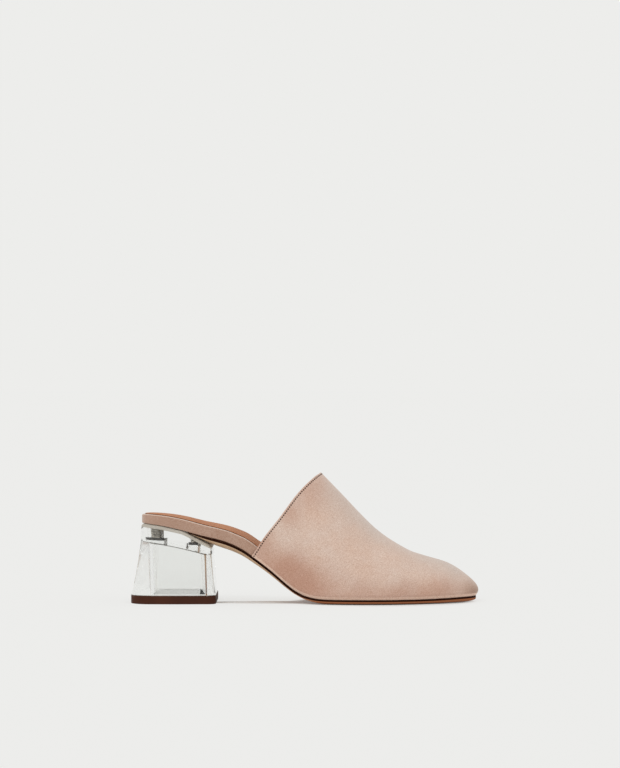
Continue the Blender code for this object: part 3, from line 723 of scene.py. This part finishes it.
# Topline stitching. One row of lockstitches in a thread dyed to the suede, sunk into the nap, with the
# needle's holes painted dark between them as their shade.

STITCH_PITCH = 1.8 * MM
STITCH_LENGTH = 1.0 * MM
THREAD_RADIUS = 0.16 * MM
HOLE_RADIUS = 0.58 * MM
HOLE_DEPTH = 0.12 * MM
THREAD = hexed("b08a76")
# Near-black painted into the needle holes as their shade.
HOLE = hexed("2a1c16")


def stitch_tree():
    """Stitches and needle holes along a line that carries the surface's direction in an attribute."""
    tree = bpy.data.node_groups.new("topline_stitches", "GeometryNodeTree")
    sockets = {}
    for name, kind in (
        ("Line", "Geometry"), ("Pitch", "Float"), ("Stitch length", "Float"), ("Thread radius", "Float"),
        ("Hole radius", "Float"), ("Hole depth", "Float"), ("Thread", "Material"), ("Hole", "Material"),
    ):
        sockets[name] = tree.interface.new_socket(name, in_out="INPUT", socket_type="NodeSocket" + kind)
    tree.interface.new_socket("Stitches", in_out="OUTPUT", socket_type="NodeSocketGeometry")

    def make(kind, settings=None, **inputs):
        return wired(tree, kind, settings, **inputs)

    def dressed(geometry, size, material, **more):
        scaled = make("GeometryNodeTransform", Geometry=geometry, Scale=size["Vector"], **more)["Geometry"]
        return make("GeometryNodeSetMaterial", Geometry=scaled, Material=material)["Geometry"]

    given = make("NodeGroupInput")
    curve = make("GeometryNodeMeshToCurve", Mesh=given["Line"])["Curve"]
    even = make("GeometryNodeResampleCurve", {"mode": "LENGTH"}, Curve=curve, Length=given["Pitch"])
    facing = make("GeometryNodeInputNamedAttribute", {"data_type": "FLOAT_VECTOR"}, Name="surface_normal")
    tangent = make("GeometryNodeInputTangent")["Tangent"]
    along_line = make("FunctionNodeAlignRotationToVector", {"axis": "X"}, Vector=tangent)["Rotation"]
    laid = make(
        "FunctionNodeAlignRotationToVector", {"axis": "Z", "pivot_axis": "X"},
        Rotation=along_line, Vector=facing["Attribute"],
    )["Rotation"]
    bead = make("GeometryNodeMeshUVSphere", Segments=8, Rings=6, Radius=1.0)["Mesh"]
    half = make("ShaderNodeMath", {"operation": "MULTIPLY"}, _0=given["Stitch length"], _1=0.5)["Value"]
    thread_size = make("ShaderNodeCombineXYZ", X=half, Y=given["Thread radius"], Z=given["Thread radius"])
    thread = dressed(bead, thread_size, given["Thread"])
    step_on = make("ShaderNodeMath", {"operation": "MULTIPLY"}, _0=given["Pitch"], _1=0.5)["Value"]
    hole_place = make("ShaderNodeCombineXYZ", X=step_on)["Vector"]
    radius = given["Hole radius"]
    hole_size = make("ShaderNodeCombineXYZ", X=radius, Y=radius, Z=given["Hole depth"])
    hole = dressed(bead, hole_size, given["Hole"], Translation=hole_place)
    stitch = make("GeometryNodeJoinGeometry")["Geometry"]
    for part in (hole, thread):
        tree.links.new(part, stitch.node.inputs[0])
    sewn = make("GeometryNodeInstanceOnPoints", Points=even["Curve"], Instance=stitch, Rotation=laid)
    whole = make("GeometryNodeRealizeInstances", Geometry=sewn["Instances"])["Geometry"]
    make("NodeGroupOutput", Stitches=whole)
    return tree, sockets


seam_points = []
seam_normals = []
for i in range(lines):
    past = np.searchsorted(from_edge[:, i], STITCH_MARGIN)
    share = (STITCH_MARGIN - from_edge[past - 1, i]) / (from_edge[past, i] - from_edge[past - 1, i])
    seam_points.append(outer_face[past - 1, i] * (1 - share) + outer_face[past, i] * share)
    seam_normals.append(outer_normals[past, i])
seam_mesh = bpy.data.meshes.new("stitch_line")
seam_mesh.from_pydata(np.array(seam_points).tolist(), [(i, i + 1) for i in range(lines - 1)], [])
seam_mesh.attributes.new("surface_normal", "FLOAT_VECTOR", "POINT")
seam_mesh.attributes["surface_normal"].data.foreach_set("vector", np.array(seam_normals, np.float32).ravel())
seam_line = bpy.data.objects.new("stitch_line", seam_mesh)
bpy.context.scene.collection.objects.link(seam_line)

thread_material = new_material("suede_thread", THREAD, 0.7, Sheen_Weight=0.2)
hole_shade_material = new_material("needle_hole_painted_shade", HOLE, 0.95)
sewing = seam_line.modifiers.new("sewing", "NODES")
sewing.node_group, sockets = stitch_tree()
sizes = {
    "Pitch": STITCH_PITCH, "Stitch length": STITCH_LENGTH, "Thread radius": THREAD_RADIUS,
    "Hole radius": HOLE_RADIUS, "Hole depth": HOLE_DEPTH, "Thread": thread_material, "Hole": hole_shade_material,
}
for name, value in sizes.items():
    sewing[sockets[name].identifier] = value


def finished(source, name):
    """The evaluated result of an object's modifiers as a plain mesh object. The source object is removed."""
    bpy.context.view_layer.update()
    shown = source.evaluated_get(bpy.context.evaluated_depsgraph_get())
    mesh = bpy.data.meshes.new_from_object(shown)
    mesh.name = name
    mesh.shade_smooth()
    piece = bpy.data.objects.new(name, mesh)
    bpy.context.scene.collection.objects.link(piece)
    bpy.data.objects.remove(source)
    return piece


stitches = finished(seam_line, "topline_stitches")
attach(stitches, "root")

# Outsole. A thin sole of tan leather glued under the upper and ending in a tongue over the heel's front. Its
# edge is trimmed upright and inked dark brown, and under the waist it is rounded and left tan.

OUTSOLE_EDGE = 2.0 * MM
WAIST_CROWN = 4.1 * MM
OUTSOLE_INSET = 1.7 * MM
TONGUE_FROM_BACK = 36.4 * MM
TONGUE_RAMP = 4.5 * MM
TOE_BEVEL = 9.0 * MM
BEVEL_STEPS = 14
SOLE_STATIONS = 180
SOLE_ARRIS = 0.25 * MM
SOLE_WAIST_X = 60.0 * MM
SOLE_BALL_X = 105.0 * MM
INK_RISE = 0.30
LEAST_RISE = 0.02
TREAD_Z = 0.3 * MM
# Height up to which the forefoot's colour is darkened as painted contact shade.
CONTACT_SHADE_TOP_Z = 1.2 * MM

# Shares of OUTSOLE_EDGE, WAIST_CROWN, the forefoot's own depth and the half width.
Section = namedtuple("Section", "along edge crown tread bevel")
SECTIONS = [Section(*row) for row in (
    (0.1480, 0.20, 0.00, 0.00, 0.90),
    (0.1830, 0.60, 0.42, 0.00, 0.90),
    (0.2150, 0.90, 0.80, 0.00, 0.90),
    (0.2530, 1.00, 1.00, 0.00, 0.90),
    (0.3000, 1.00, 0.95, 0.00, 0.90),
    (0.3461, 1.00, 0.80, 0.00, 0.85),
    (0.3924, 1.00, 0.57, 0.00, 0.70),
    (0.4624, 0.95, 0.14, 0.00, 0.35),
    (0.5000, 0.85, 0.04, 0.45, 0.20),
    (0.5600, 0.80, 0.00, 1.00, 0.14),
    (1.0000, 0.80, 0.00, 1.00, 0.14),
)]
edge_share = column(SECTIONS, "edge")
crown_share = column(SECTIONS, "crown")
tread_share = column(SECTIONS, "tread")
bevel_share = column(SECTIONS, "bevel")


def outsole_edge(x):
    return OUTSOLE_EDGE * edge_share(along(x))


def underside(x, across):
    """Height of the outsole's lower face."""
    forefoot = OUTSOLE_FOREFOOT - OUTSOLE_EDGE * edge_share(1.0)
    crown = WAIST_CROWN * crown_share(along(x)) + forefoot * tread_share(along(x))
    climb = np.maximum(0.0, 1 - (1 - np.abs(across)) / bevel_share(along(x)))
    nose = np.maximum(0.0, 1 - (TOE_X - OUTSOLE_INSET - x) / TOE_BEVEL)
    climb = np.minimum(1.0, np.hypot(climb, nose))
    return seat_height(x, across) - CLEARANCE - outsole_edge(x) - crown * np.sqrt(1 - climb * climb)


def sole_top(x, across):
    return seat_height(x, across) - CLEARANCE


sole_x = spread(HEEL_BACK_X + TONGUE_FROM_BACK, TOE_X - TIP_FLAT, SOLE_STATIONS, round_start=False)
lateral = outline(sole_x, -1, OUTSOLE_INSET)
medial = outline(sole_x, 1, OUTSOLE_INSET)


def sole_column(across, height, inwards=0.0):
    """A line of points along the sole, across from -1 lateral to 1 medial, moved inwards by a distance."""
    share = (1 + across) / 2
    x = lateral[0] + (medial[0] - lateral[0]) * share
    y = lateral[1] + (medial[1] - lateral[1]) * share - np.sign(across) * inwards
    return np.stack([x, y, height(x, across)], axis=-1)


def ink_foot(x, across):
    """Where the ink on the sole's edge ends: by the bevel in the waist, and higher up round the forefoot."""
    share = INK_RISE * np.clip((x - SOLE_WAIST_X) / (SOLE_BALL_X - SOLE_WAIST_X), LEAST_RISE, 1.0)
    return underside(x, across) * (1 - share) + sole_top(x, across) * share


def half_sole(side):
    """The lines of one side, from its top over the arris and down its edge to the inner end of its bevel."""
    edge = side * np.ones_like(sole_x)
    bevel = bevel_share(along(sole_x))
    turns = [i * math.pi / 2 / BEVEL_STEPS for i in range(BEVEL_STEPS + 1)]
    columns = [sole_column(edge / 2, sole_top), sole_column(edge, sole_top, SOLE_ARRIS)]
    columns += [sole_column(edge, height) for height in (below(sole_top, SOLE_ARRIS), ink_foot)]
    return columns + [sole_column(side * (1 - bevel * (1 - math.cos(t))), underside) for t in turns]


sole_columns = [sole_column(0.0 * sole_x, sole_top), *half_sole(-1)]
sole_columns += [sole_column(0.0 * sole_x, underside), *reversed(half_sole(1))]
sole_count = len(sole_columns)
sole_faces = capped_faces(SOLE_STATIONS, sole_count)
INK_SLOT, TAN_SLOT = range(2)
INKED_COLUMNS = (2, 3, sole_count - 3, sole_count - 4)
sole_slots = [INK_SLOT if f[0] % sole_count in INKED_COLUMNS else TAN_SLOT for f in sole_faces]
sole_slots[-1] = INK_SLOT

SOLE_INK = hexed("2a0e05")
SOLE_INK_DEEP = hexed("1c0a03")
# The waist's pale tan is partly the leather's own colour and partly a painted reflection of the floor.
SOLE_WAIST = hexed("cbab8c")
SOLE_WAIST_DEEP = hexed("bf9d7d")
# The forefoot's brown is darker than the waist's tan: painted shade on its bevel.
SOLE_BALL = hexed("945b3b")
# Near-black painted at the tread's foot as the contact shade where the sole meets the floor.
SOLE_CONTACT_SHADE = hexed("2c170d")
sole_ink = leather("inked_sole_edge", SOLE_INK, SOLE_INK_DEEP, 0.60, 1300.0, 0.03 * MM, shine=0.04)
sole_tan = leather("tan_sole_leather", SOLE_WAIST, SOLE_WAIST_DEEP, 0.60, 1100.0, 0.05 * MM)
waist_tint = sole_tan.node_tree.nodes["Principled BSDF"].inputs["Base Color"].links[0].from_socket
place = add(sole_tan, "SeparateXYZ", Vector=place_on(sole_tan))
# The forefoot darkens towards the floor as painted contact shade.
clear_of_contact_shade = shifted(sole_tan, place["Z"], TREAD_Z, CONTACT_SHADE_TOP_Z)
forefoot_tint_and_shade = mixed(sole_tan, clear_of_contact_shade, rgba(*SOLE_CONTACT_SHADE), rgba(*SOLE_BALL))
forward = shifted(sole_tan, place["X"], SOLE_WAIST_X, SOLE_BALL_X)
feed(sole_tan, Base_Color=mixed(sole_tan, forward, waist_tint, forefoot_tint_and_shade))
outsole = new_piece(
    "outsole_leather", np.stack(sole_columns, axis=1).reshape(-1, 3), sole_faces, [sole_ink, sole_tan],
    sole_slots, sharp_deg=30,
)
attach(outsole, "root")
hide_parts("outsole")

# Heel. One block of clear acrylic, moulded hollow from below and polished. It flares towards the floor, its
# seat is shaped to the board, and two screws hold it from inside the hollow through pockets in its ceiling.

HEEL_TOP_LENGTH = 50.4 * MM
HEEL_TOP_INSET = 0.3 * MM
HEEL_TOP_BACK_ROUND = 17.0 * MM
HEEL_TOP_FRONT_ROUND = 2.5 * MM
HEEL_FOOT_LENGTH = 60.6 * MM
HEEL_FOOT_WIDTH = 57.0 * MM
HEEL_FOOT_BACK_ROUND = 13.5 * MM
HEEL_FOOT_FRONT_ROUND = 5.0 * MM
HEEL_FLARE_POWER = 1.6
HEEL_SIDE_SWELL = 0.03
HEEL_RIM_ROUND = 2.5 * MM
HEEL_SHARP_DEG = 35
CORE_CEILING = 13.1 * MM
CORE_BACK_WALL = 8.2 * MM
CORE_FRONT_WALL = 2.8 * MM
CORE_SIDE_WALL = 6.5 * MM
CORE_CORNER = 6.0 * MM
CORE_DRAFT = 0.9 * MM
CORE_FILLET = 0.8 * MM
LIFT_THICKNESS = 6.0 * MM
SCREW_SHANK = 5.4 * MM
SCREW_HEAD = 10.4 * MM
SCREW_HEAD_HEIGHT = 1.8 * MM
REAR_SCREW_DEPTH = 11.5 * MM
REAR_SCREW_X = -10.0 * MM
FRONT_SCREW_DEPTH = 9.6 * MM
FRONT_SCREW_X = 13.5 * MM
CORNER_STEPS = 14
SIDE_STEPS = 12
WALL_LEVELS = 40
CORE_LEVELS = 12
RIM_TURNS = 8
ROUND_SIDES = 64
SEAT_SHARES = (0.8, 0.65, 0.5, 0.35, 0.2, 0.07)
CEILING_SHARES = (0.8, 0.6, 0.4, 0.2, 0.07)

HEEL_TOP_WIDTH = SEAT_WIDTH - 2 * (UPPER_WALL + CLEARANCE + REAR_TUCK + HEEL_TOP_INSET)
HEEL_TOP_BACK_X = HEEL_BACK_X + UPPER_WALL + CLEARANCE + REAR_TUCK
HEEL_TOP_CENTRE = HEEL_TOP_BACK_X + HEEL_TOP_LENGTH / 2
HEEL_FOOT_Z = LIFT_THICKNESS + CLEARANCE


def rounded_plan(middle, length, width, back_round, front_round, swell=0.0):
    """An outline with round corners, larger at the back than at the breast, and slightly bowed sides."""
    corners = [(1, 1, front_round), (-1, 1, back_round), (-1, -1, back_round), (1, -1, front_round)]
    arcs = []
    for quarters, (end, side, radius) in enumerate(corners):
        turn = math.pi / 2 * (quarters + np.linspace(0, 1, CORNER_STEPS + 1))
        cx, cy = end * (length / 2 - radius), side * (width / 2 - radius)
        arcs.append(np.stack([cx + radius * np.cos(turn), cy + radius * np.sin(turn)], axis=-1))
    points = []
    for arc, after in zip(arcs, arcs[1:] + arcs[:1]):
        points += list(arc)
        points += [arc[-1] + (after[0] - arc[-1]) * i / SIDE_STEPS for i in range(1, SIDE_STEPS)]
    points = np.array(points)
    bow = 1 + swell * (1 - (points[:, 0] / (length / 2)) ** 2)
    return np.stack([middle + points[:, 0], points[:, 1] * bow], axis=-1)


def heel_plan(share, margin=0.0):
    """The heel's outline at a share of its height, 0 at the foot and 1 at the seat."""
    flare = (1 - share) ** HEEL_FLARE_POWER

    def size(top, foot):
        return top + (foot - top) * flare

    return rounded_plan(
        size(HEEL_TOP_CENTRE, 0),
        size(HEEL_TOP_LENGTH, HEEL_FOOT_LENGTH) + 2 * margin,
        size(HEEL_TOP_WIDTH, HEEL_FOOT_WIDTH) + 2 * margin,
        size(HEEL_TOP_BACK_ROUND, HEEL_FOOT_BACK_ROUND) + margin,
        size(HEEL_TOP_FRONT_ROUND, HEEL_FOOT_FRONT_ROUND) + margin,
        HEEL_SIDE_SWELL,
    )


def heel_seat(x, y):
    """Height of the heel's top, which fits the board behind and the outsole's tongue in front."""
    ramp = ease((x - HEEL_BACK_X - TONGUE_FROM_BACK + TONGUE_RAMP) / TONGUE_RAMP)
    behind = sole_top(x, across_at(x, y))
    return behind + (underside(x, 0.0 * x) - CLEARANCE - behind) * ramp


def ceiling_height(x, y):
    """Height of the hollow's ceiling, which is level from side to side."""
    return seat_height(x, 0.0 * y) - CORE_CEILING


def lifted(plan, z):
    return np.stack([plan[:, 0], plan[:, 1], np.broadcast_to(z, plan[:, 0].shape)], axis=-1)


def drawn_in(ring, middle, share):
    """A plan drawn towards its middle."""
    return np.stack([middle + (ring[:, 0] - middle) * share, ring[:, 1] * share], axis=-1)


def domed(plan, middle, span, radius, height, shares):
    """Rings that round a wall's end over by a radius and close in on a surface, at shares of the way out."""
    rings = []
    for i in range(1, RIM_TURNS + 1):
        turn = math.pi / 2 * i / RIM_TURNS
        ring = drawn_in(plan, middle, 1 - 2 * radius / span * (1 - math.cos(turn)))
        rings.append(lifted(ring, height(*ring.T) - radius * (1 - math.sin(turn))))
    for share in shares:
        ring = drawn_in(plan, middle, share)
        rings.append(lifted(ring, height(*ring.T)))
    return rings


wall_top = heel_seat(*heel_plan(1.0).T) - HEEL_RIM_ROUND
outer_rings = []
for level in np.linspace(0, 1, WALL_LEVELS + 1):
    z = HEEL_FOOT_Z + (wall_top - HEEL_FOOT_Z) * level
    heights = (z - HEEL_FOOT_Z) / (SEAT_HEIGHT - HEEL_FOOT_Z)
    outer_rings.append(lifted(np.stack([heel_plan(h)[i] for i, h in enumerate(heights)]), z))
rim_plan = outer_rings[-1][:, :2]
outer_rings += domed(rim_plan, HEEL_TOP_CENTRE, HEEL_TOP_LENGTH, HEEL_RIM_ROUND, heel_seat, SEAT_SHARES)

core_length = HEEL_TOP_LENGTH - CORE_BACK_WALL - CORE_FRONT_WALL
core_width = HEEL_TOP_WIDTH - 2 * CORE_SIDE_WALL
core_middle = HEEL_TOP_CENTRE + (CORE_BACK_WALL - CORE_FRONT_WALL) / 2
core_rings = []
for level in np.linspace(0, 1, CORE_LEVELS):
    draft = 2 * CORE_DRAFT * (1 - level)
    plan = rounded_plan(core_middle, core_length + draft, core_width + draft, CORE_CORNER, CORE_CORNER)
    top = ceiling_height(*plan.T) - CORE_FILLET
    core_rings.append(lifted(plan, HEEL_FOOT_Z + (top - HEEL_FOOT_Z) * level))
core_plan = core_rings[-1][:, :2]
core_rings += domed(core_plan, core_middle, core_width, CORE_FILLET, ceiling_height, CEILING_SHARES)

heel_rings = np.array(core_rings[::-1] + outer_rings)
heel_count = heel_rings.shape[1]
heel_faces = capped_faces(len(heel_rings), heel_count)

ACRYLIC_TINT = (0.940, 0.946, 0.936)
ACRYLIC_IOR = 1.49
SEAT_BEIGE = hexed("b9b2a6")
clear_acrylic = new_material("clear_acrylic", ACRYLIC_TINT, 0.0, Transmission_Weight=1.0, IOR=ACRYLIC_IOR)
moulded_core = new_material("moulded_core", ACRYLIC_TINT, 0.12, Transmission_Weight=1.0, IOR=ACRYLIC_IOR)
# The seat and the rounding of its rim are greyish beige, rough and mostly opaque.
beige_seat_rim = new_material("beige_seat_rim", SEAT_BEIGE, 0.6, Transmission_Weight=0.25, IOR=ACRYLIC_IOR)
CLEAR_SLOT, SEAT_SLOT, CORE_SLOT = range(3)
heel_slots = [CORE_SLOT] * (len(core_rings) - 1) + [CLEAR_SLOT] * (WALL_LEVELS + 1)
heel_slots += [SEAT_SLOT] * (len(heel_rings) - len(heel_slots))
heel = new_piece(
    "heel_block_clear", heel_rings.reshape(-1, 3), heel_faces, [clear_acrylic, beige_seat_rim, moulded_core],
    [heel_slots[face[0] // heel_count] for face in heel_faces],
)


def turned(name, profile, x, materials):
    """A solid of revolution about a vertical axis at x, from a profile of radius and height."""
    turn = 2 * math.pi * np.arange(ROUND_SIDES) / ROUND_SIDES
    circle = np.stack([np.cos(turn), np.sin(turn)], axis=-1)
    rings = [lifted(radius * circle + (x, 0.0), z) for radius, z in profile]
    faces = capped_faces(len(rings), ROUND_SIDES)
    return new_piece(name, np.array(rings).reshape(-1, 3), faces, materials, sharp_deg=30)


def screw_sizes(x, depth):
    """Heights of a screw's foot, of the neck under its head and of its tip."""
    foot = float(seat_height(x, 0.0)) - depth
    tip = heel_seat(np.array([x + SCREW_SHANK / 2]), np.array([0.0]))
    return foot, foot + SCREW_HEAD_HEIGHT, float(tip[0])


SCREWS = (("rear", REAR_SCREW_X, REAR_SCREW_DEPTH), ("front", FRONT_SCREW_X, FRONT_SCREW_DEPTH))
pockets = []
for name, x, depth in SCREWS:
    foot, neck, tip = screw_sizes(x, depth)
    head, shank = SCREW_HEAD / 2 + CLEARANCE, SCREW_SHANK / 2 + CLEARANCE
    profile = [(head, foot - CORE_CEILING / 2), (head, neck + CLEARANCE)]
    profile += [(shank, neck + CLEARANCE), (shank, SEAT_HEIGHT * 2)]
    pockets.append(turned("screw_pocket_" + name, profile, x, []))
    cut = heel.modifiers.new("pocket " + name, "BOOLEAN")
    cut.operation = "DIFFERENCE"
    cut.solver = "EXACT"
    cut.object = pockets[-1]
heel = finished(heel, "heel_block_clear_acrylic")
heel.data.set_sharp_from_angle(angle=math.radians(HEEL_SHARP_DEG))
for pocket in pockets:
    bpy.data.objects.remove(pocket)
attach(heel, "root")
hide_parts("heel_block")

# Heel screws. Two nickel-plated screws with wide flat heads, driven up from the hollow through the heel's
# ceiling into the board.

HEAD_EDGE = 0.35 * MM
THREAD_PITCH = 1.1 * MM
THREAD_DEPTH = 0.22 * MM
NICKEL = hexed("aaa398")
HEAD_DARK = hexed("35312c")
LATHE_MARKS = (200.0, 200.0, 9000.0)

blackened = new_material("blackened_head", HEAD_DARK, 0.35, Metallic=1.0)
nickel = new_material("nickel_plate", NICKEL, 0.24, Metallic=1.0)
stretched = add(nickel, "Mapping", Vector=place_on(nickel), Scale=LATHE_MARKS)["Vector"]
turned_marks = add(nickel, "TexNoise", Vector=stretched, Scale=1.0, Detail=2.0)["Fac"]
feed(nickel, Roughness=shifted(nickel, turned_marks, 0.3, 0.7, 0.18, 0.34))
feed(nickel, Normal=add(nickel, "Bump", Strength=0.2, Distance=0.02 * MM, Height=turned_marks)["Normal"])
for name, x, depth in SCREWS:
    foot, neck, tip = screw_sizes(x, depth)
    head, shank, root = SCREW_HEAD / 2, SCREW_SHANK / 2, SCREW_SHANK / 2 - THREAD_DEPTH
    profile = [(head - HEAD_EDGE, foot), (head, foot + HEAD_EDGE)]
    profile += [(head, neck - HEAD_EDGE), (head - HEAD_EDGE, neck), (shank, neck)]
    z = neck + THREAD_PITCH
    while z < tip - THREAD_PITCH:
        profile += [(shank, z), (root, z + THREAD_PITCH / 3), (shank, z + THREAD_PITCH * 2 / 3)]
        z += THREAD_PITCH
    profile += [(shank, tip)]
    screw = turned("heel_screw_nickel_" + name, profile, x, [nickel, blackened])
    for face in screw.data.polygons:
        face.material_index = 1 if face.center.z < neck + HEAD_EDGE / 2 else 0
    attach(screw, "root")
    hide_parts("heel_screw_" + name)

# Top lift. The wear piece under the heel: a slab of brown rubber cut to the heel's foot, with a pale glossy
# top face, a fine matt grain and its lower edge slightly rubbed.

LIFT_MARGIN = 0.4 * MM
LIFT_BEVEL = 0.4 * MM
LIFT_BROWN = hexed("4a281a")
LIFT_DARK = hexed("3b2016")
# Near-white for the lift's top face, seen through the heel's hollow.
LIFT_TOP_PALE = hexed("e6e6e2")
LIFT_REACH = 12.0 * MM

lift_section = [(LIFT_REACH, 0.0), *reversed(quarter(LIFT_BEVEL))]
lift_section += [(inwards, LIFT_THICKNESS - drop) for inwards, drop in quarter(LIFT_BEVEL / 2)]
lift_section += [(LIFT_REACH, LIFT_THICKNESS)]
lift_rings = np.array([lifted(heel_plan(0.0, LIFT_MARGIN - inwards), z) for inwards, z in lift_section])
lift_count = lift_rings.shape[1]
lift_faces = capped_faces(len(lift_rings), lift_count)
RUBBER_SLOT, PALE_TOP_SLOT = range(2)
pale_top_ring = len(lift_rings) - 2
lift_slots = [PALE_TOP_SLOT if f[0] // lift_count >= pale_top_ring else RUBBER_SLOT for f in lift_faces]
lift_rubber = leather("brown_lift_rubber", LIFT_BROWN, LIFT_DARK, 0.65, 1800.0, 0.05 * MM)
pale_top = new_material("pale_lift_top", LIFT_TOP_PALE, 0.04)
lift = new_piece("top_lift_rubber", lift_rings.reshape(-1, 3), lift_faces, [lift_rubber, pale_top], lift_slots)
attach(lift, "root")
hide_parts("top_lift")

# Studio. A plain pale floor that runs into an equally pale background, soft light from all round and one
# broad light from above, and the camera that looks at the shoe from its outer side. The floor glows as bright
# as the background, so it shows only a faint shadow, and a firmer one where the shoe stands.

BACKDROP = hexed("ededeb")
FLOOR_REACH = 60.0
FLOOR_WHITE = 0.13
CONTACT_WHITE = 0.66
CONTACT_EDGE = 0.15
CONTACT_PATCHES = [
    ((0.150, -0.005, 0.0), (0.069, 0.048, 1.0)),
    ((0.080, -0.010, 0.0), (0.065, 0.013, 1.0)),
    ((0.000, 0.000, 0.0), (0.030, 0.033, 1.0)),
]
KEY_STRENGTH = 0.70
KEY_SPREAD_DEG = 16.0
KEY_TURN_DEG = (28.0, -22.0)
CAMERA_PLACE = (0.098, -2.088, 0.1575)
CAMERA_LENS = 135.0
LIGHT_BOUNCES = 32

floor_mesh = bpy.data.meshes.new("floor")
corners = [(-1, -1), (1, -1), (1, 1), (-1, 1)]
floor_mesh.from_pydata([(FLOOR_REACH * x, FLOOR_REACH * y, 0.0) for x, y in corners], [], [(0, 1, 2, 3)])
floor = bpy.data.objects.new("floor", floor_mesh)
bpy.context.scene.collection.objects.link(floor)
floor_paint = new_material("floor", BACKDROP, 1.0, Specular_IOR_Level=0.0, Emission_Strength=1.0)
contact = 0.0
for middle, reach in CONTACT_PATCHES:
    inside = shifted(floor_paint, near(floor_paint, place_on(floor_paint), middle, reach), 0.0, CONTACT_EDGE)
    contact = add(floor_paint, "Math", {"operation": "MAXIMUM"}, _0=inside, _1=contact)["Value"]
key_on_floor = KEY_STRENGTH * math.cos(math.radians(KEY_TURN_DEG[0])) / math.pi / BACKDROP[0]
whites = (FLOOR_WHITE, CONTACT_WHITE)
paints = [rgba(white, white, white) for white in whites]
glows = [rgba(*((1 - white * (1.0 + key_on_floor)) * c for c in BACKDROP)) for white in whites]
feed(
    floor_paint, Base_Color=mixed(floor_paint, contact, *paints),
    Emission_Color=mixed(floor_paint, contact, *glows),
)
floor_mesh.materials.append(floor_paint)

world = bpy.data.worlds.new("studio")
world.use_nodes = True
world.node_tree.nodes["Background"].inputs["Color"].default_value = rgba(*BACKDROP)
bpy.context.scene.world = world

key_data = bpy.data.lights.new("key", "SUN")
key_data.energy = KEY_STRENGTH
key_data.angle = math.radians(KEY_SPREAD_DEG)
key = bpy.data.objects.new("key", key_data)
key.rotation_euler = [math.radians(a) for a in (*KEY_TURN_DEG, 0.0)]
bpy.context.scene.collection.objects.link(key)

camera_data = bpy.data.cameras.new("camera")
camera_data.lens = CAMERA_LENS
camera_data.clip_end = 2 * FLOOR_REACH
camera = bpy.data.objects.new("camera", camera_data)
camera.location = CAMERA_PLACE
camera.rotation_euler = (math.radians(90), 0.0, 0.0)
bpy.context.scene.collection.objects.link(camera)
bpy.context.scene.camera = camera
bpy.context.scene.view_settings.view_transform = "Standard"

# Light runs round inside clear acrylic many times before it leaves, so the paths are long.
cycles = bpy.context.scene.cycles
cycles.max_bounces = LIGHT_BOUNCES
cycles.transmission_bounces = LIGHT_BOUNCES
cycles.glossy_bounces = LIGHT_BOUNCES
